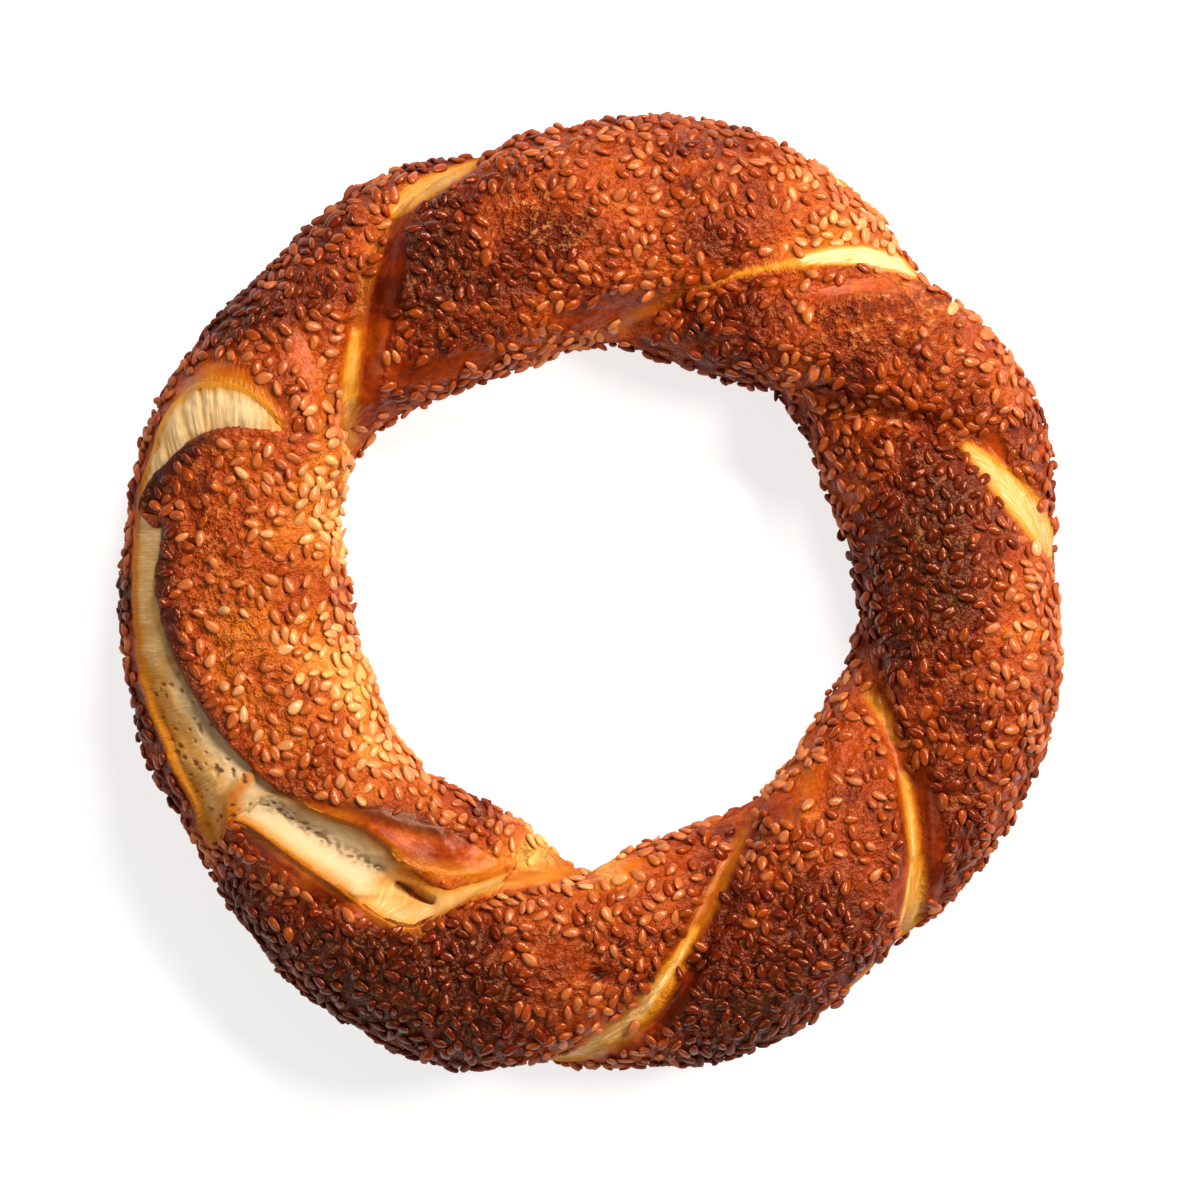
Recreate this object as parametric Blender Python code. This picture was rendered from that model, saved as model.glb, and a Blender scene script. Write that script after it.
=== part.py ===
"""A simit: a sesame bread ring of two strands, twisted round each other and joined.

The ring lies flat on z = 0 with its hole along Z. Angles round the ring are in degrees, counter-clockwise
from +X as seen from above. Angles round the section are 0 on the outer side, 90 on top and 180 at the hole.
Lengths in the tables are in millimetres.
"""

import math
import random
from typing import NamedTuple

import bmesh
import bpy
import numpy as np
from mathutils import Matrix, Vector

MM = 0.001

STRAND_SEGMENTS = 16  # mesh rows from one seam to the next
SECTION_SEGMENTS = 26
ROW_CROWDING = 0.35  # how much closer the rows lie beside a seam
SEAMS_PER_TURN = 2  # once round the section, a strand's row has passed this many seams

WIDEST_LEVEL = 0.43  # height of the widest level, as a share of the crown's
TOP_FULLNESS = 2.2  # superellipse exponents: 2 is an ellipse, more is fuller
BASE_FULLNESS = 2.9
SINK = 1.0  # how much of the lowest dough is pressed flat by the tray

GROOVE_SHARE = 0.35  # share of a seam's depth that lies in its narrow groove
GROOVE_WIDTH = 2.6
STRAND_ROUNDNESS = 1.4
SEAM_SLANT = 0.72  # a seam crosses the ring at a slant, so it is nearer than the arc to it
SEAM_UNDER = 0.55  # share of a seam's depth that is left in the middle of the underside
FALL = 1.6  # how sharply a groove's side turns in
LEAST_ANGLE = 1e-6
FRAME_STEP = 0.5  # degrees, for the directions of the surface at a point

BURST_ROUNDNESS = 2
WELD = 1e-5  # metres

SEED_COUNT = 140
SEED_TRIES = 4000
SEED_SUBDIVISIONS = 1
SEED_LENGTH = 3.4
SEED_WIDTH = 2.1
SEED_THICKNESS = 1.3
SEED_GAP = 4.9  # least distance between two seeds' middles
SEED_CLEAR_OF_SEAM = 3.6
SEAM_THAT_SHOWS = 1.0  # seeds cover a seam that is less deep than this
SEED_CLEAR_OF_BURST = 3.0
SEED_LOWEST, SEED_HIGHEST = -32, 212  # section angles between which the crust has seeds
SEED_STEPS = (0.7548776662, 0.5698402910)  # spreads the tries evenly over both angles
SEED_RANDOM = 11

CRUST_COLOUR = (0.56, 0.17, 0.03, 1.0)
CRUST_ROUGHNESS = 0.42


class Seam(NamedTuple):
    """The groove between two strands: where it crosses each side of the ring, and how deep it is there."""

    outer: float
    top: float
    inner: float
    outer_depth: float
    top_depth: float
    inner_depth: float


class Lobe(NamedTuple):
    """The strand that shows between two seams: its radius outside and at the hole, and its height."""

    outer_radius: float
    hole_radius: float
    crown: float


SEAMS = (
    Seam(3, 28, 45, 4.3, 5.2, 5.4),
    Seam(45, 64, 91, 6.6, 4.2, 1.2),
    Seam(105, 131, 149, 7.0, 5.4, 7.0),
    Seam(162, 180, 214, 0.2, 0.8, 1.4),
    Seam(213, 236, 270, 2.8, 4.2, 6.6),
    Seam(264, 284, 308, 5.2, 5.2, 2.6),
    Seam(311, 329, 353, 5.4, 5.4, 3.2),
)
LOBES = (
    Lobe(84.4, 42.4, 30.0),
    Lobe(85.6, 40.8, 32.0),
    Lobe(81.6, 41.3, 30.5),
    Lobe(82.4, 39.8, 32.0),
    Lobe(85.9, 43.7, 31.5),
    Lobe(84.5, 43.6, 31.0),
    Lobe(83.2, 44.2, 30.5),
)


class Bulge(NamedTuple):
    """A stretch of the ring where the dough stands out or in: its middle, its half-length and how far."""

    theta: float
    spread: float
    amount: float


OUTER_BULGES = (
    Bulge(10, 5, -0.7),
    Bulge(42, 5, -1.2),
    Bulge(91, 8, -1.4),
    Bulge(106, 3, -1.2),
    Bulge(117, 7, 0.9),
    Bulge(135, 8, -1.4),
    Bulge(156, 7, 1.2),
    Bulge(226, 7, -0.7),
    Bulge(253, 6, 1.5),
    Bulge(277, 5, -0.9),
)
HOLE_BULGES = (
    Bulge(38, 6, 0.7),
    Bulge(104, 6, -1.3),
    Bulge(142, 11, 3.1),
    Bulge(164, 7, 1.5),
    Bulge(203, 8, -1.3),
    Bulge(230, 5, 0.9),
    Bulge(268, 5, 2.0),
    Bulge(310, 5, -0.8),
    Bulge(341, 5, 0.8),
)


class Reach(NamedTuple):
    """A place along the burst in the crust, seen from above, and half the burst's width there."""

    x: float
    y: float
    half_width: float


BURST = (
    Reach(-54.5, 28.2, 0.7),
    Reach(-58.5, 31.2, 2.2),
    Reach(-64.0, 31.8, 3.2),
    Reach(-69.8, 29.6, 3.2),
    Reach(-74.4, 24.0, 2.6),
    Reach(-77.0, 16.4, 1.2),
    Reach(-76.8, 9.4, 2.2),
    Reach(-77.4, 2.4, 2.1),
    Reach(-77.0, -6.2, 2.4),
    Reach(-74.2, -17.5, 3.8),
    Reach(-69.6, -26.2, 4.3),
    Reach(-64.2, -33.0, 4.2),
    Reach(-56.0, -37.2, 3.6),
    Reach(-49.0, -42.0, 3.9),
    Reach(-42.0, -46.2, 3.9),
    Reach(-35.0, -50.2, 3.7),
    Reach(-29.0, -52.4, 2.6),
    Reach(-23.0, -52.0, 1.0),
)
BURST_NOTCH = (Reach(-65.4, -35.7, 3.1), Reach(-66.1, -41.0, 2.4), Reach(-66.5, -44.1, 0.9))


def eased_round(theta, knots, values):
    """A value that runs round the ring, in degrees, through its knots with an even slope at each."""
    order = np.argsort(np.mod(knots, 360))
    at = np.mod(knots, 360)[order]
    values = np.asarray(values, float)[order]
    at = np.concatenate([[at[-1] - 360], at, [at[0] + 360]])
    values = np.concatenate([[values[-1]], values, [values[0]]])
    theta = np.mod(theta, 360)
    before = np.clip(np.searchsorted(at, theta, side="right") - 1, 0, len(at) - 2)
    share = (theta - at[before]) / (at[before + 1] - at[before])
    ease = (1 - np.cos(np.pi * share)) / 2
    return values[before] + (values[before + 1] - values[before]) * ease


def middles(angles):
    """The angle half-way from each seam to the next one round."""
    gaps = np.mod(np.roll(angles, -1) - angles, 360)
    return angles + gaps / 2


def three_point(share, first, middle, last):
    """The parabola through a first, a middle and a last value at shares 0, 0.5 and 1."""
    rest = 1 - share
    return first * rest * (1 - 2 * share) + middle * 4 * share * rest + last * share * (2 * share - 1)


def bulging(theta, bulges):
    """How far the bulges move the outline at angles theta."""
    total = np.zeros(np.shape(theta))
    for bulge in bulges:
        away = np.mod(theta - bulge.theta + 180, 360) - 180
        total += bulge.amount * np.exp(-0.5 * (away / bulge.spread) ** 2)
    return total


def seam_lines(psi):
    """Each seam's angle round the ring and its depth, at section angles psi: two lists of arrays.

    Over the top a seam runs from its outer side to the hole. Under the ring it runs on, and comes up as the
    outer side of the seam after the next, because two strands share the ring.
    """
    over = np.clip(psi / 180, 0, 1)
    under = np.clip(psi / 180 - 1, 0, 1)
    angles, depths = [], []
    for index, seam in enumerate(SEAMS):
        after = SEAMS[(index + SEAMS_PER_TURN) % len(SEAMS)]
        angle_over = three_point(over, seam.outer, seam.top, seam.inner)
        steps = [seam.outer_depth, seam.top_depth, seam.top_depth, seam.inner_depth]
        depth_over = np.interp(over, [0, 0.25, 0.75, 1], steps)
        run = np.mod(after.outer - seam.inner, 360)
        angle_under = seam.inner + run * under
        depth_under = seam.inner_depth + (after.outer_depth - seam.inner_depth) * under
        depth_under = depth_under * (1 - (1 - SEAM_UNDER) * np.sin(np.pi * under))
        on_top = psi <= 180
        angles.append(np.where(on_top, angle_over, angle_under))
        depths.append(np.where(on_top, depth_over, depth_under))
    return np.array(angles), np.array(depths)


def envelope(theta):
    """The outer radius, hole radius and crown height of the ring before its seams are cut."""
    outer = np.array([seam.outer for seam in SEAMS], float)
    inner = np.array([seam.inner for seam in SEAMS], float)
    top = np.array([seam.top for seam in SEAMS], float)
    outer_radius = eased_round(theta, middles(outer), [lobe.outer_radius for lobe in LOBES])
    hole_radius = eased_round(theta, middles(inner), [lobe.hole_radius for lobe in LOBES])
    crown = eased_round(theta, middles(top), [lobe.crown for lobe in LOBES])
    return outer_radius + bulging(theta, OUTER_BULGES), hole_radius + bulging(theta, HOLE_BULGES), crown


def signed_power(value, power):
    return np.sign(value) * np.abs(value) ** power


def seam_relief(theta, psi, radius):
    """How far the surface lies under the envelope: strands swell between seams, with a groove at each."""
    angles, depths = seam_lines(psi)
    behind, ahead = np.mod(theta - angles, 360), np.mod(angles - theta, 360)
    last, following = behind.argmin(axis=0)[None], ahead.argmin(axis=0)[None]
    back = np.take_along_axis(behind, last, 0)[0]
    forward = np.take_along_axis(ahead, following, 0)[0]
    depth_back = np.take_along_axis(depths, last, 0)[0]
    depth_forward = np.take_along_axis(depths, following, 0)[0]
    share = back / np.maximum(back + forward, LEAST_ANGLE)
    swell = 1 - np.sin(np.pi * share) ** STRAND_ROUNDNESS
    broad = (depth_back * (1 - share) + depth_forward * share) * swell
    widths = np.radians(1) * radius * SEAM_SLANT / GROOVE_WIDTH
    groove_back = depth_back * np.exp(-((back * widths) ** FALL))
    groove_forward = depth_forward * np.exp(-((forward * widths) ** FALL))
    return (1 - GROOVE_SHARE) * broad + GROOVE_SHARE * np.maximum(groove_back, groove_forward)


def surface(theta, psi):
    """Points of the bread's surface at angles theta round the ring and psi round its section."""
    outer, hole, crown = envelope(theta)
    middle, half_width = (outer + hole) / 2, (outer - hole) / 2
    level = WIDEST_LEVEL * crown
    across, up = np.cos(np.radians(psi)), np.sin(np.radians(psi))
    on_top = up >= 0
    fullness = np.where(on_top, TOP_FULLNESS, BASE_FULLNESS)
    rise = np.where(on_top, crown - level, level + SINK)
    offset = half_width * signed_power(across, 2 / fullness)
    height = level + rise * signed_power(up, 2 / fullness)
    # The section's outward direction, from the gradient of its superellipse.
    out_across = signed_power(offset / half_width, fullness - 1) / half_width
    out_up = signed_power((height - level) / rise, fullness - 1) / rise
    length = np.hypot(out_across, out_up)
    out_across, out_up = out_across / length, out_up / length
    sunk = seam_relief(theta, psi, middle + offset)
    radius = middle + offset - sunk * out_across
    height = np.maximum(height - sunk * out_up, 0)
    angle = np.radians(theta)
    return np.stack([radius * np.cos(angle), radius * np.sin(angle), height], axis=-1)


def height_at(x, y):
    """The height of the bread's top above a point of the table, in millimetres."""
    psi = np.linspace(0, 180, 181)
    theta = np.full(psi.shape, math.degrees(math.atan2(y, x)))
    points = surface(theta, psi)
    radius = np.hypot(points[:, 0], points[:, 1])
    order = np.argsort(radius)
    return float(np.interp(math.hypot(x, y), radius[order], points[order, 2]))


def clear_of_seams(theta, psi, radius):
    """The distance to the nearest seam."""
    angles, depths = seam_lines(np.array([float(psi)]))
    away = np.abs(np.mod(theta - angles[:, 0] + 180, 360) - 180)
    near = away * math.radians(1) * radius * SEAM_SLANT
    return float(near[depths[:, 0] > SEAM_THAT_SHOWS].min())


def clear_of_burst(x, y):
    """The distance to the burst, seen from above: negative inside it."""
    nearest = math.inf
    for reaches in (BURST, BURST_NOTCH):
        for start, end in zip(reaches, reaches[1:]):
            run_x, run_y = end.x - start.x, end.y - start.y
            share = ((x - start.x) * run_x + (y - start.y) * run_y) / (run_x**2 + run_y**2)
            share = min(max(share, 0), 1)
            half_width = start.half_width + share * (end.half_width - start.half_width)
            away = math.hypot(x - start.x - share * run_x, y - start.y - share * run_y)
            nearest = min(nearest, away - half_width)
    return nearest


def frame_at(theta, psi):
    """A point of the surface, its direction along the ring, and its outward direction."""
    points = surface(
        theta + FRAME_STEP * np.array([0, -1, 1, 0, 0]),
        np.mod(psi + FRAME_STEP * np.array([0, 0, 0, -1, 1]), 360),
    )
    along = Vector(points[2] - points[1]).normalized()
    around = Vector(points[4] - points[3]).normalized()
    return Vector(points[0]), along, along.cross(around).normalized()


def seed_places():
    """Where the largest seeds lie: evenly over the crust, clear of the seams, the burst and each other."""
    drawn = random.Random(SEED_RANDOM)
    places = []
    for index in range(1, SEED_TRIES):
        theta = 360 * (index * SEED_STEPS[0] % 1)
        psi = SEED_LOWEST + (SEED_HIGHEST - SEED_LOWEST) * (index * SEED_STEPS[1] % 1)
        turn = drawn.uniform(0, math.pi)
        point, along, out = frame_at(theta, psi % 360)
        on_strand = clear_of_seams(theta, psi % 360, math.hypot(point.x, point.y)) > SEED_CLEAR_OF_SEAM
        on_crust = psi < 0 or psi > 180 or clear_of_burst(point.x, point.y) > SEED_CLEAR_OF_BURST
        alone = all((point - other).length > SEED_GAP for other, _, _ in places)
        if on_strand and on_crust and alone:
            places.append((point, Matrix.Rotation(turn, 3, out) @ along, out))
        if len(places) == SEED_COUNT:
            break
    return places


def clear_scene():
    for obj in list(bpy.data.objects):
        bpy.data.objects.remove(obj, do_unlink=True)


def new_collection(name):
    collection = bpy.data.collections.new(name)
    bpy.context.scene.collection.children.link(collection)
    return collection


def crust_material():
    material = bpy.data.materials.new("crust")
    material.use_nodes = True
    shader = material.node_tree.nodes["Principled BSDF"]
    shader.inputs["Base Color"].default_value = CRUST_COLOUR
    shader.inputs["Roughness"].default_value = CRUST_ROUGHNESS
    return material


def strand_grid():
    """The angles of the mesh's points. Each row runs along a strand, so every seam has a row of its own."""
    share = np.arange(STRAND_SEGMENTS) / STRAND_SEGMENTS
    share = share - ROW_CROWDING * np.sin(2 * np.pi * share) / (2 * np.pi)
    psi = 360 * np.arange(SECTION_SEGMENTS) / SECTION_SEGMENTS
    angles, _ = seam_lines(psi)
    gaps = np.mod(np.roll(angles, -1, axis=0) - angles, 360)
    theta = angles[:, None, :] + share[None, :, None] * gaps[:, None, :]
    theta = theta.reshape(-1, SECTION_SEGMENTS)
    return theta, np.broadcast_to(psi, theta.shape)


def strand_faces(rows):
    """Four-sided faces between the rows. Each row meets, where it closes, a row two seams further on."""
    ring, section = np.meshgrid(np.arange(rows), np.arange(SECTION_SEGMENTS), indexing="ij")
    closing = section == SECTION_SEGMENTS - 1
    ring_across = ring + np.where(closing, SEAMS_PER_TURN * STRAND_SEGMENTS, 0)
    section_across = np.where(closing, 0, section + 1)
    corners = (
        (ring, section),
        (ring + 1, section),
        (ring_across + 1, section_across),
        (ring_across, section_across),
    )
    faces = [np.mod(row, rows) * SECTION_SEGMENTS + column for row, column in corners]
    return np.stack(faces, axis=-1).reshape(-1, len(corners))


def make_bread(collection):
    """The bread, before its burst is cut: a mesh whose rows follow the strands round the ring."""
    theta, psi = strand_grid()
    points = surface(theta.ravel(), psi.ravel()) * MM
    mesh = bpy.data.meshes.new("simit")
    mesh.from_pydata(points.tolist(), [], strand_faces(len(theta)).tolist())
    mesh.update()
    mesh.shade_smooth()
    bread = bpy.data.objects.new("simit", mesh)
    collection.objects.link(bread)
    return bread


def mesh_from_curve(curve_object, name):
    """A curve made a closed mesh object, with its caps welded."""
    evaluated = curve_object.evaluated_get(bpy.context.evaluated_depsgraph_get())
    mesh = bpy.data.meshes.new_from_object(evaluated)
    welded = bmesh.new()
    welded.from_mesh(mesh)
    bmesh.ops.remove_doubles(welded, verts=welded.verts, dist=WELD)
    welded.to_mesh(mesh)
    welded.free()
    obj = bpy.data.objects.new(name, mesh)
    obj.matrix_world = curve_object.matrix_world
    bpy.data.objects.remove(curve_object, do_unlink=True)
    return obj


def make_burst_cutter(name, reaches, collection):
    """A worm that lies half in the crust along the burst, as thick at each place as the burst is wide."""
    curve = bpy.data.curves.new(name, "CURVE")
    curve.dimensions = "3D"
    curve.bevel_depth = MM
    curve.bevel_resolution = BURST_ROUNDNESS
    curve.use_fill_caps = True
    spline = curve.splines.new("POLY")
    spline.points.add(len(reaches) - 1)
    for point, reach in zip(spline.points, reaches):
        point.co = Vector((reach.x, reach.y, height_at(reach.x, reach.y), 1 / MM)) * MM
        point.radius = reach.half_width
    guide = bpy.data.objects.new(name + "_guide", curve)
    collection.objects.link(guide)
    bpy.context.view_layer.update()
    cutter = mesh_from_curve(guide, name)
    collection.objects.link(cutter)
    cutter.hide_render = True
    cutter.display_type = "WIRE"
    return cutter


def cut(target, cutter):
    difference = target.modifiers.new(cutter.name, "BOOLEAN")
    difference.operation = "DIFFERENCE"
    difference.object = cutter
    difference.solver = "EXACT"


def make_seeds(collection):
    """The seeds that the solid carries: faceted grains, half sunk in the crust."""
    bpy.ops.mesh.primitive_ico_sphere_add(subdivisions=SEED_SUBDIVISIONS, radius=0.5 * MM)
    pattern = bpy.context.object
    grain = pattern.data
    for index, (point, along, out) in enumerate(seed_places()):
        seed = bpy.data.objects.new(f"seed_{index:03d}", grain)
        axes = Matrix((along * SEED_LENGTH, out.cross(along) * SEED_WIDTH, out * SEED_THICKNESS))
        axes.transpose()
        seed.matrix_world = Matrix.Translation(point * MM) @ axes.to_4x4()
        collection.objects.link(seed)
    bpy.data.objects.remove(pattern, do_unlink=True)


def centre(objects, target):
    """Moves objects together so that the target's box is centred on the origin."""
    corners = np.array([target.matrix_world @ Vector(corner) for corner in target.bound_box])
    middle = (corners.min(axis=0) + corners.max(axis=0)) / 2
    for obj in objects:
        obj.location -= Vector((middle[0], middle[1], 0))


def fuse(target, collection):
    """Joins a collection's objects to the target for good, and then removes them."""
    union = target.modifiers.new("seeds", "BOOLEAN")
    union.operation = "UNION"
    union.operand_type = "COLLECTION"
    union.collection = collection
    union.solver = "EXACT"
    bpy.context.view_layer.update()
    joined = bpy.data.meshes.new_from_object(target.evaluated_get(bpy.context.evaluated_depsgraph_get()))
    target.modifiers.clear()
    target.data = joined
    for obj in list(collection.objects):
        bpy.data.objects.remove(obj, do_unlink=True)


def main():
    clear_scene()
    simit = new_collection("simit")
    cutters = new_collection("cutters")
    seeds = new_collection("seeds")
    bread = make_bread(simit)
    bread.data.materials.append(crust_material())
    make_seeds(seeds)
    fuse(bread, seeds)
    burst = make_burst_cutter("burst", BURST, cutters)
    notch = make_burst_cutter("burst_notch", BURST_NOTCH, cutters)
    centre((bread, burst, notch), bread)
    cut(bread, burst)
    cut(bread, notch)


main()
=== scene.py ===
"""A simit as it looks in the photograph: its baked crust, the burst in the crust and its sesame seeds.

Shapes are worked out in millimetres, on the ring of part.py, and become metres when a mesh is made.
Angles are in degrees: theta runs round the ring, counter-clockwise from +X as seen from above, and psi
runs round the section, 0 on the outer side, 90 on top and 180 at the hole.
"""

from __future__ import annotations

import sys
import itertools
import logging
import math
from dataclasses import dataclass
from enum import Enum

import bpy
import numpy as np
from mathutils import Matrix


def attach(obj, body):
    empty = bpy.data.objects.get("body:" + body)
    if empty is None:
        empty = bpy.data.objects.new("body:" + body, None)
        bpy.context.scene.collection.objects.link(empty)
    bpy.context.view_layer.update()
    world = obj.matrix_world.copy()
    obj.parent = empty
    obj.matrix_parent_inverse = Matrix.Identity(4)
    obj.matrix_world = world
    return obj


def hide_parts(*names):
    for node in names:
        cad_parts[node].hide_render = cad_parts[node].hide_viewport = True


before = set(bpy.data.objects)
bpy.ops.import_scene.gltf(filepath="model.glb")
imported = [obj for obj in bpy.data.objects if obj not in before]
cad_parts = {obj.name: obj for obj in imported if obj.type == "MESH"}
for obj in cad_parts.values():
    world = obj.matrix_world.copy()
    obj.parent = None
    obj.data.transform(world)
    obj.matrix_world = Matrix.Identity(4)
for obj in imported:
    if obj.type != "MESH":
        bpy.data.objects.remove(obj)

MM = 0.001
NODE = "simit"

log = logging.getLogger("simit")

Array = np.ndarray
Colour = tuple[float, float, float]
Tree = bpy.types.NodeTree
Socket = bpy.types.NodeSocket
BLACK: Colour = (0, 0, 0)
WHITE: Colour = (1, 1, 1)
TINY = 1e-9
LATTICE = 256


def smooth_step(values: Array) -> Array:
    """Eases 0 to 1 with a flat start and end: 3 x squared less 2 x cubed, for x kept between 0 and 1."""
    kept = np.clip(values, 0.0, 1.0)
    return kept * kept * (3.0 - 2.0 * kept)


def unit(vectors: Array) -> Array:
    """Vectors along the last axis, each divided by its length."""
    return vectors / np.maximum(np.linalg.norm(vectors, axis=-1, keepdims=True), 1e-12)


def lattice_noise(points: Array, size: float, seed: int) -> Array:
    """Smooth noise between -1 and 1.

    Each corner of a cubic lattice has a drawn value, and a point takes those of its cell's eight corners,
    eased between. The values come round again after as many cells as LATTICE says.

    Args:
        points: places, in millimetres, with x, y and z on the last axis.
        size: the lattice's pitch in millimetres.
        seed: the draw.

    Returns:
        One value a point.
    """
    drawn = np.random.default_rng(seed)
    order = drawn.permutation(LATTICE)
    values = drawn.uniform(-1.0, 1.0, LATTICE)
    cells = np.asarray(points, float) / size
    base = np.floor(cells).astype(int)
    share = smooth_step(cells - base)
    total = np.zeros(cells.shape[:-1])
    for corner in itertools.product((0, 1), repeat=3):
        at = base + np.array(corner)
        key = order[at[..., 0] % LATTICE]
        key = order[(key + at[..., 1]) % LATTICE]
        key = order[(key + at[..., 2]) % LATTICE]
        weight = np.prod(np.where(np.array(corner) == 1, share, 1.0 - share), axis=-1)
        total += values[key] * weight
    return total


@dataclass(frozen=True)
class PhotoFrame:
    """Where a pixel of the photograph lies on the table."""

    mm_per_pixel: float = 0.1735
    middle_x: float = 592.0
    middle_y: float = 594.0
    shift_x: float = 0.497
    shift_y: float = -0.271

    def to_table(self, pixels: Array) -> Array:
        """Millimetres from pixels: x to the right, y up the photograph.

        Args:
            pixels: columns and rows on the last axis.

        Returns:
            x and y in millimetres on the last axis.
        """
        pixels = np.asarray(pixels, float)
        x = (pixels[..., 0] - self.middle_x) * self.mm_per_pixel + self.shift_x
        y = (self.middle_y - pixels[..., 1]) * self.mm_per_pixel + self.shift_y
        return np.stack([x, y], axis=-1)


PHOTO = PhotoFrame()


@dataclass(frozen=True)
class Seam:
    """A groove between two strands: its angles outside, on top and at the hole, and its depths there."""

    outer: float
    top: float
    inner: float
    outer_depth: float
    top_depth: float
    inner_depth: float


@dataclass(frozen=True)
class Lobe:
    """The strand that shows between two seams: its radius outside and at the hole, and its height."""

    outer_radius: float
    hole_radius: float
    crown: float


@dataclass(frozen=True)
class Bulge:
    """A stretch of the ring where the dough stands out or in: its middle, its half-length and how far."""

    theta: float
    spread: float
    amount: float


@dataclass(frozen=True)
class RingForm:
    """The twisted ring of part.py: two strands round each other, with a seam at each half turn."""

    seams: tuple[Seam, ...] = (
        Seam(3, 28, 45, 4.3, 5.2, 5.4),
        Seam(45, 64, 91, 6.6, 4.2, 1.2),
        Seam(105, 131, 149, 7.0, 5.4, 7.0),
        Seam(162, 180, 214, 0.2, 0.8, 1.4),
        Seam(213, 236, 270, 2.8, 4.2, 6.6),
        Seam(264, 284, 308, 5.2, 5.2, 2.6),
        Seam(311, 329, 353, 5.4, 5.4, 3.2),
    )
    lobes: tuple[Lobe, ...] = (
        Lobe(84.4, 42.4, 30.0),
        Lobe(85.6, 40.8, 32.0),
        Lobe(81.6, 41.3, 30.5),
        Lobe(82.4, 39.8, 32.0),
        Lobe(85.9, 43.7, 31.5),
        Lobe(84.5, 43.6, 31.0),
        Lobe(83.2, 44.2, 30.5),
    )
    outer_bulges: tuple[Bulge, ...] = (
        Bulge(10, 5, -0.7),
        Bulge(42, 5, -1.2),
        Bulge(91, 8, -1.4),
        Bulge(106, 3, -1.2),
        Bulge(117, 7, 0.9),
        Bulge(135, 8, -1.4),
        Bulge(156, 7, 1.2),
        Bulge(226, 7, -0.7),
        Bulge(253, 6, 1.5),
        Bulge(277, 5, -0.9),
    )
    hole_bulges: tuple[Bulge, ...] = (
        Bulge(38, 6, 0.7),
        Bulge(104, 6, -1.3),
        Bulge(142, 11, 3.1),
        Bulge(164, 7, 1.5),
        Bulge(203, 8, -1.3),
        Bulge(230, 5, 0.9),
        Bulge(268, 5, 2.0),
        Bulge(310, 5, -0.8),
        Bulge(341, 5, 0.8),
    )
    widest_level: float = 0.43
    top_fullness: float = 2.2
    base_fullness: float = 2.9
    sink: float = 1.0
    groove_share: float = 0.35
    groove_width: float = 2.6
    strand_roundness: float = 1.4
    seam_slant: float = 0.72
    seam_under: float = 0.55
    fall: float = 1.6
    seams_per_turn: int = 2
    centre_x: float = 0.497
    centre_y: float = -0.271

    def eased_round(self, theta: Array, knots: Array, values: list[float]) -> Array:
        """A value that runs round the ring through its knots, cosine-eased between each two.

        Args:
            theta: angles to read it at.
            knots: the knots' angles.
            values: the value at each knot.

        Returns:
            The value at each angle.
        """
        order = np.argsort(np.mod(knots, 360))
        at = np.mod(knots, 360)[order]
        held = np.asarray(values, float)[order]
        at = np.concatenate([[at[-1] - 360], at, [at[0] + 360]])
        held = np.concatenate([[held[-1]], held, [held[0]]])
        theta = np.mod(theta, 360)
        before = np.clip(np.searchsorted(at, theta, side="right") - 1, 0, len(at) - 2)
        share = (theta - at[before]) / (at[before + 1] - at[before])
        ease = (1 - np.cos(np.pi * share)) / 2
        return held[before] + (held[before + 1] - held[before]) * ease

    def bulging(self, theta: Array, bulges: tuple[Bulge, ...]) -> Array:
        """The sum of the bulges at angles theta, each a bell curve of its own spread.

        Args:
            theta: angles round the ring.
            bulges: the bulges of one side.

        Returns:
            Millimetres at each angle.
        """
        total = np.zeros(np.shape(theta))
        for bulge in bulges:
            away = np.mod(theta - bulge.theta + 180, 360) - 180
            total += bulge.amount * np.exp(-0.5 * (away / bulge.spread) ** 2)
        return total

    def seam_lines(self, psi: Array) -> tuple[Array, Array]:
        """Each seam's angle round the ring and its depth at section angles psi.

        Over the top a seam's angle is a parabola through its three stated angles. Under the ring it runs
        straight on to the outer side of the seam after the next, and is shallower there.

        Args:
            psi: section angles, in one list.

        Returns:
            Angles and depths, one row a seam.
        """
        over = np.clip(psi / 180, 0, 1)
        under = np.clip(psi / 180 - 1, 0, 1)
        rest = 1 - over
        angles, depths = [], []
        for index, seam in enumerate(self.seams):
            after = self.seams[(index + self.seams_per_turn) % len(self.seams)]
            angle_over = seam.outer * rest * (1 - 2 * over) + seam.top * 4 * over * rest
            angle_over = angle_over + seam.inner * over * (2 * over - 1)
            steps = [seam.outer_depth, seam.top_depth, seam.top_depth, seam.inner_depth]
            depth_over = np.interp(over, [0, 0.25, 0.75, 1], steps)
            angle_under = seam.inner + np.mod(after.outer - seam.inner, 360) * under
            depth_under = seam.inner_depth + (after.outer_depth - seam.inner_depth) * under
            depth_under = depth_under * (1 - (1 - self.seam_under) * np.sin(np.pi * under))
            angles.append(np.where(psi <= 180, angle_over, angle_under))
            depths.append(np.where(psi <= 180, depth_over, depth_under))
        return np.array(angles), np.array(depths)

    def envelope(self, theta: Array) -> tuple[Array, Array, Array]:
        """The outer radius, hole radius and crown height of the ring before its seams are sunk.

        Args:
            theta: angles round the ring.

        Returns:
            Three lists of millimetres.
        """
        sides = []
        for side in ("outer", "inner", "top"):
            angles = np.array([getattr(seam, side) for seam in self.seams], float)
            sides.append(angles + np.mod(np.roll(angles, -1) - angles, 360) / 2)
        outer = self.eased_round(theta, sides[0], [lobe.outer_radius for lobe in self.lobes])
        hole = self.eased_round(theta, sides[1], [lobe.hole_radius for lobe in self.lobes])
        crown = self.eased_round(theta, sides[2], [lobe.crown for lobe in self.lobes])
        outer = outer + self.bulging(theta, self.outer_bulges)
        hole = hole + self.bulging(theta, self.hole_bulges)
        return outer, hole, crown

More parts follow.
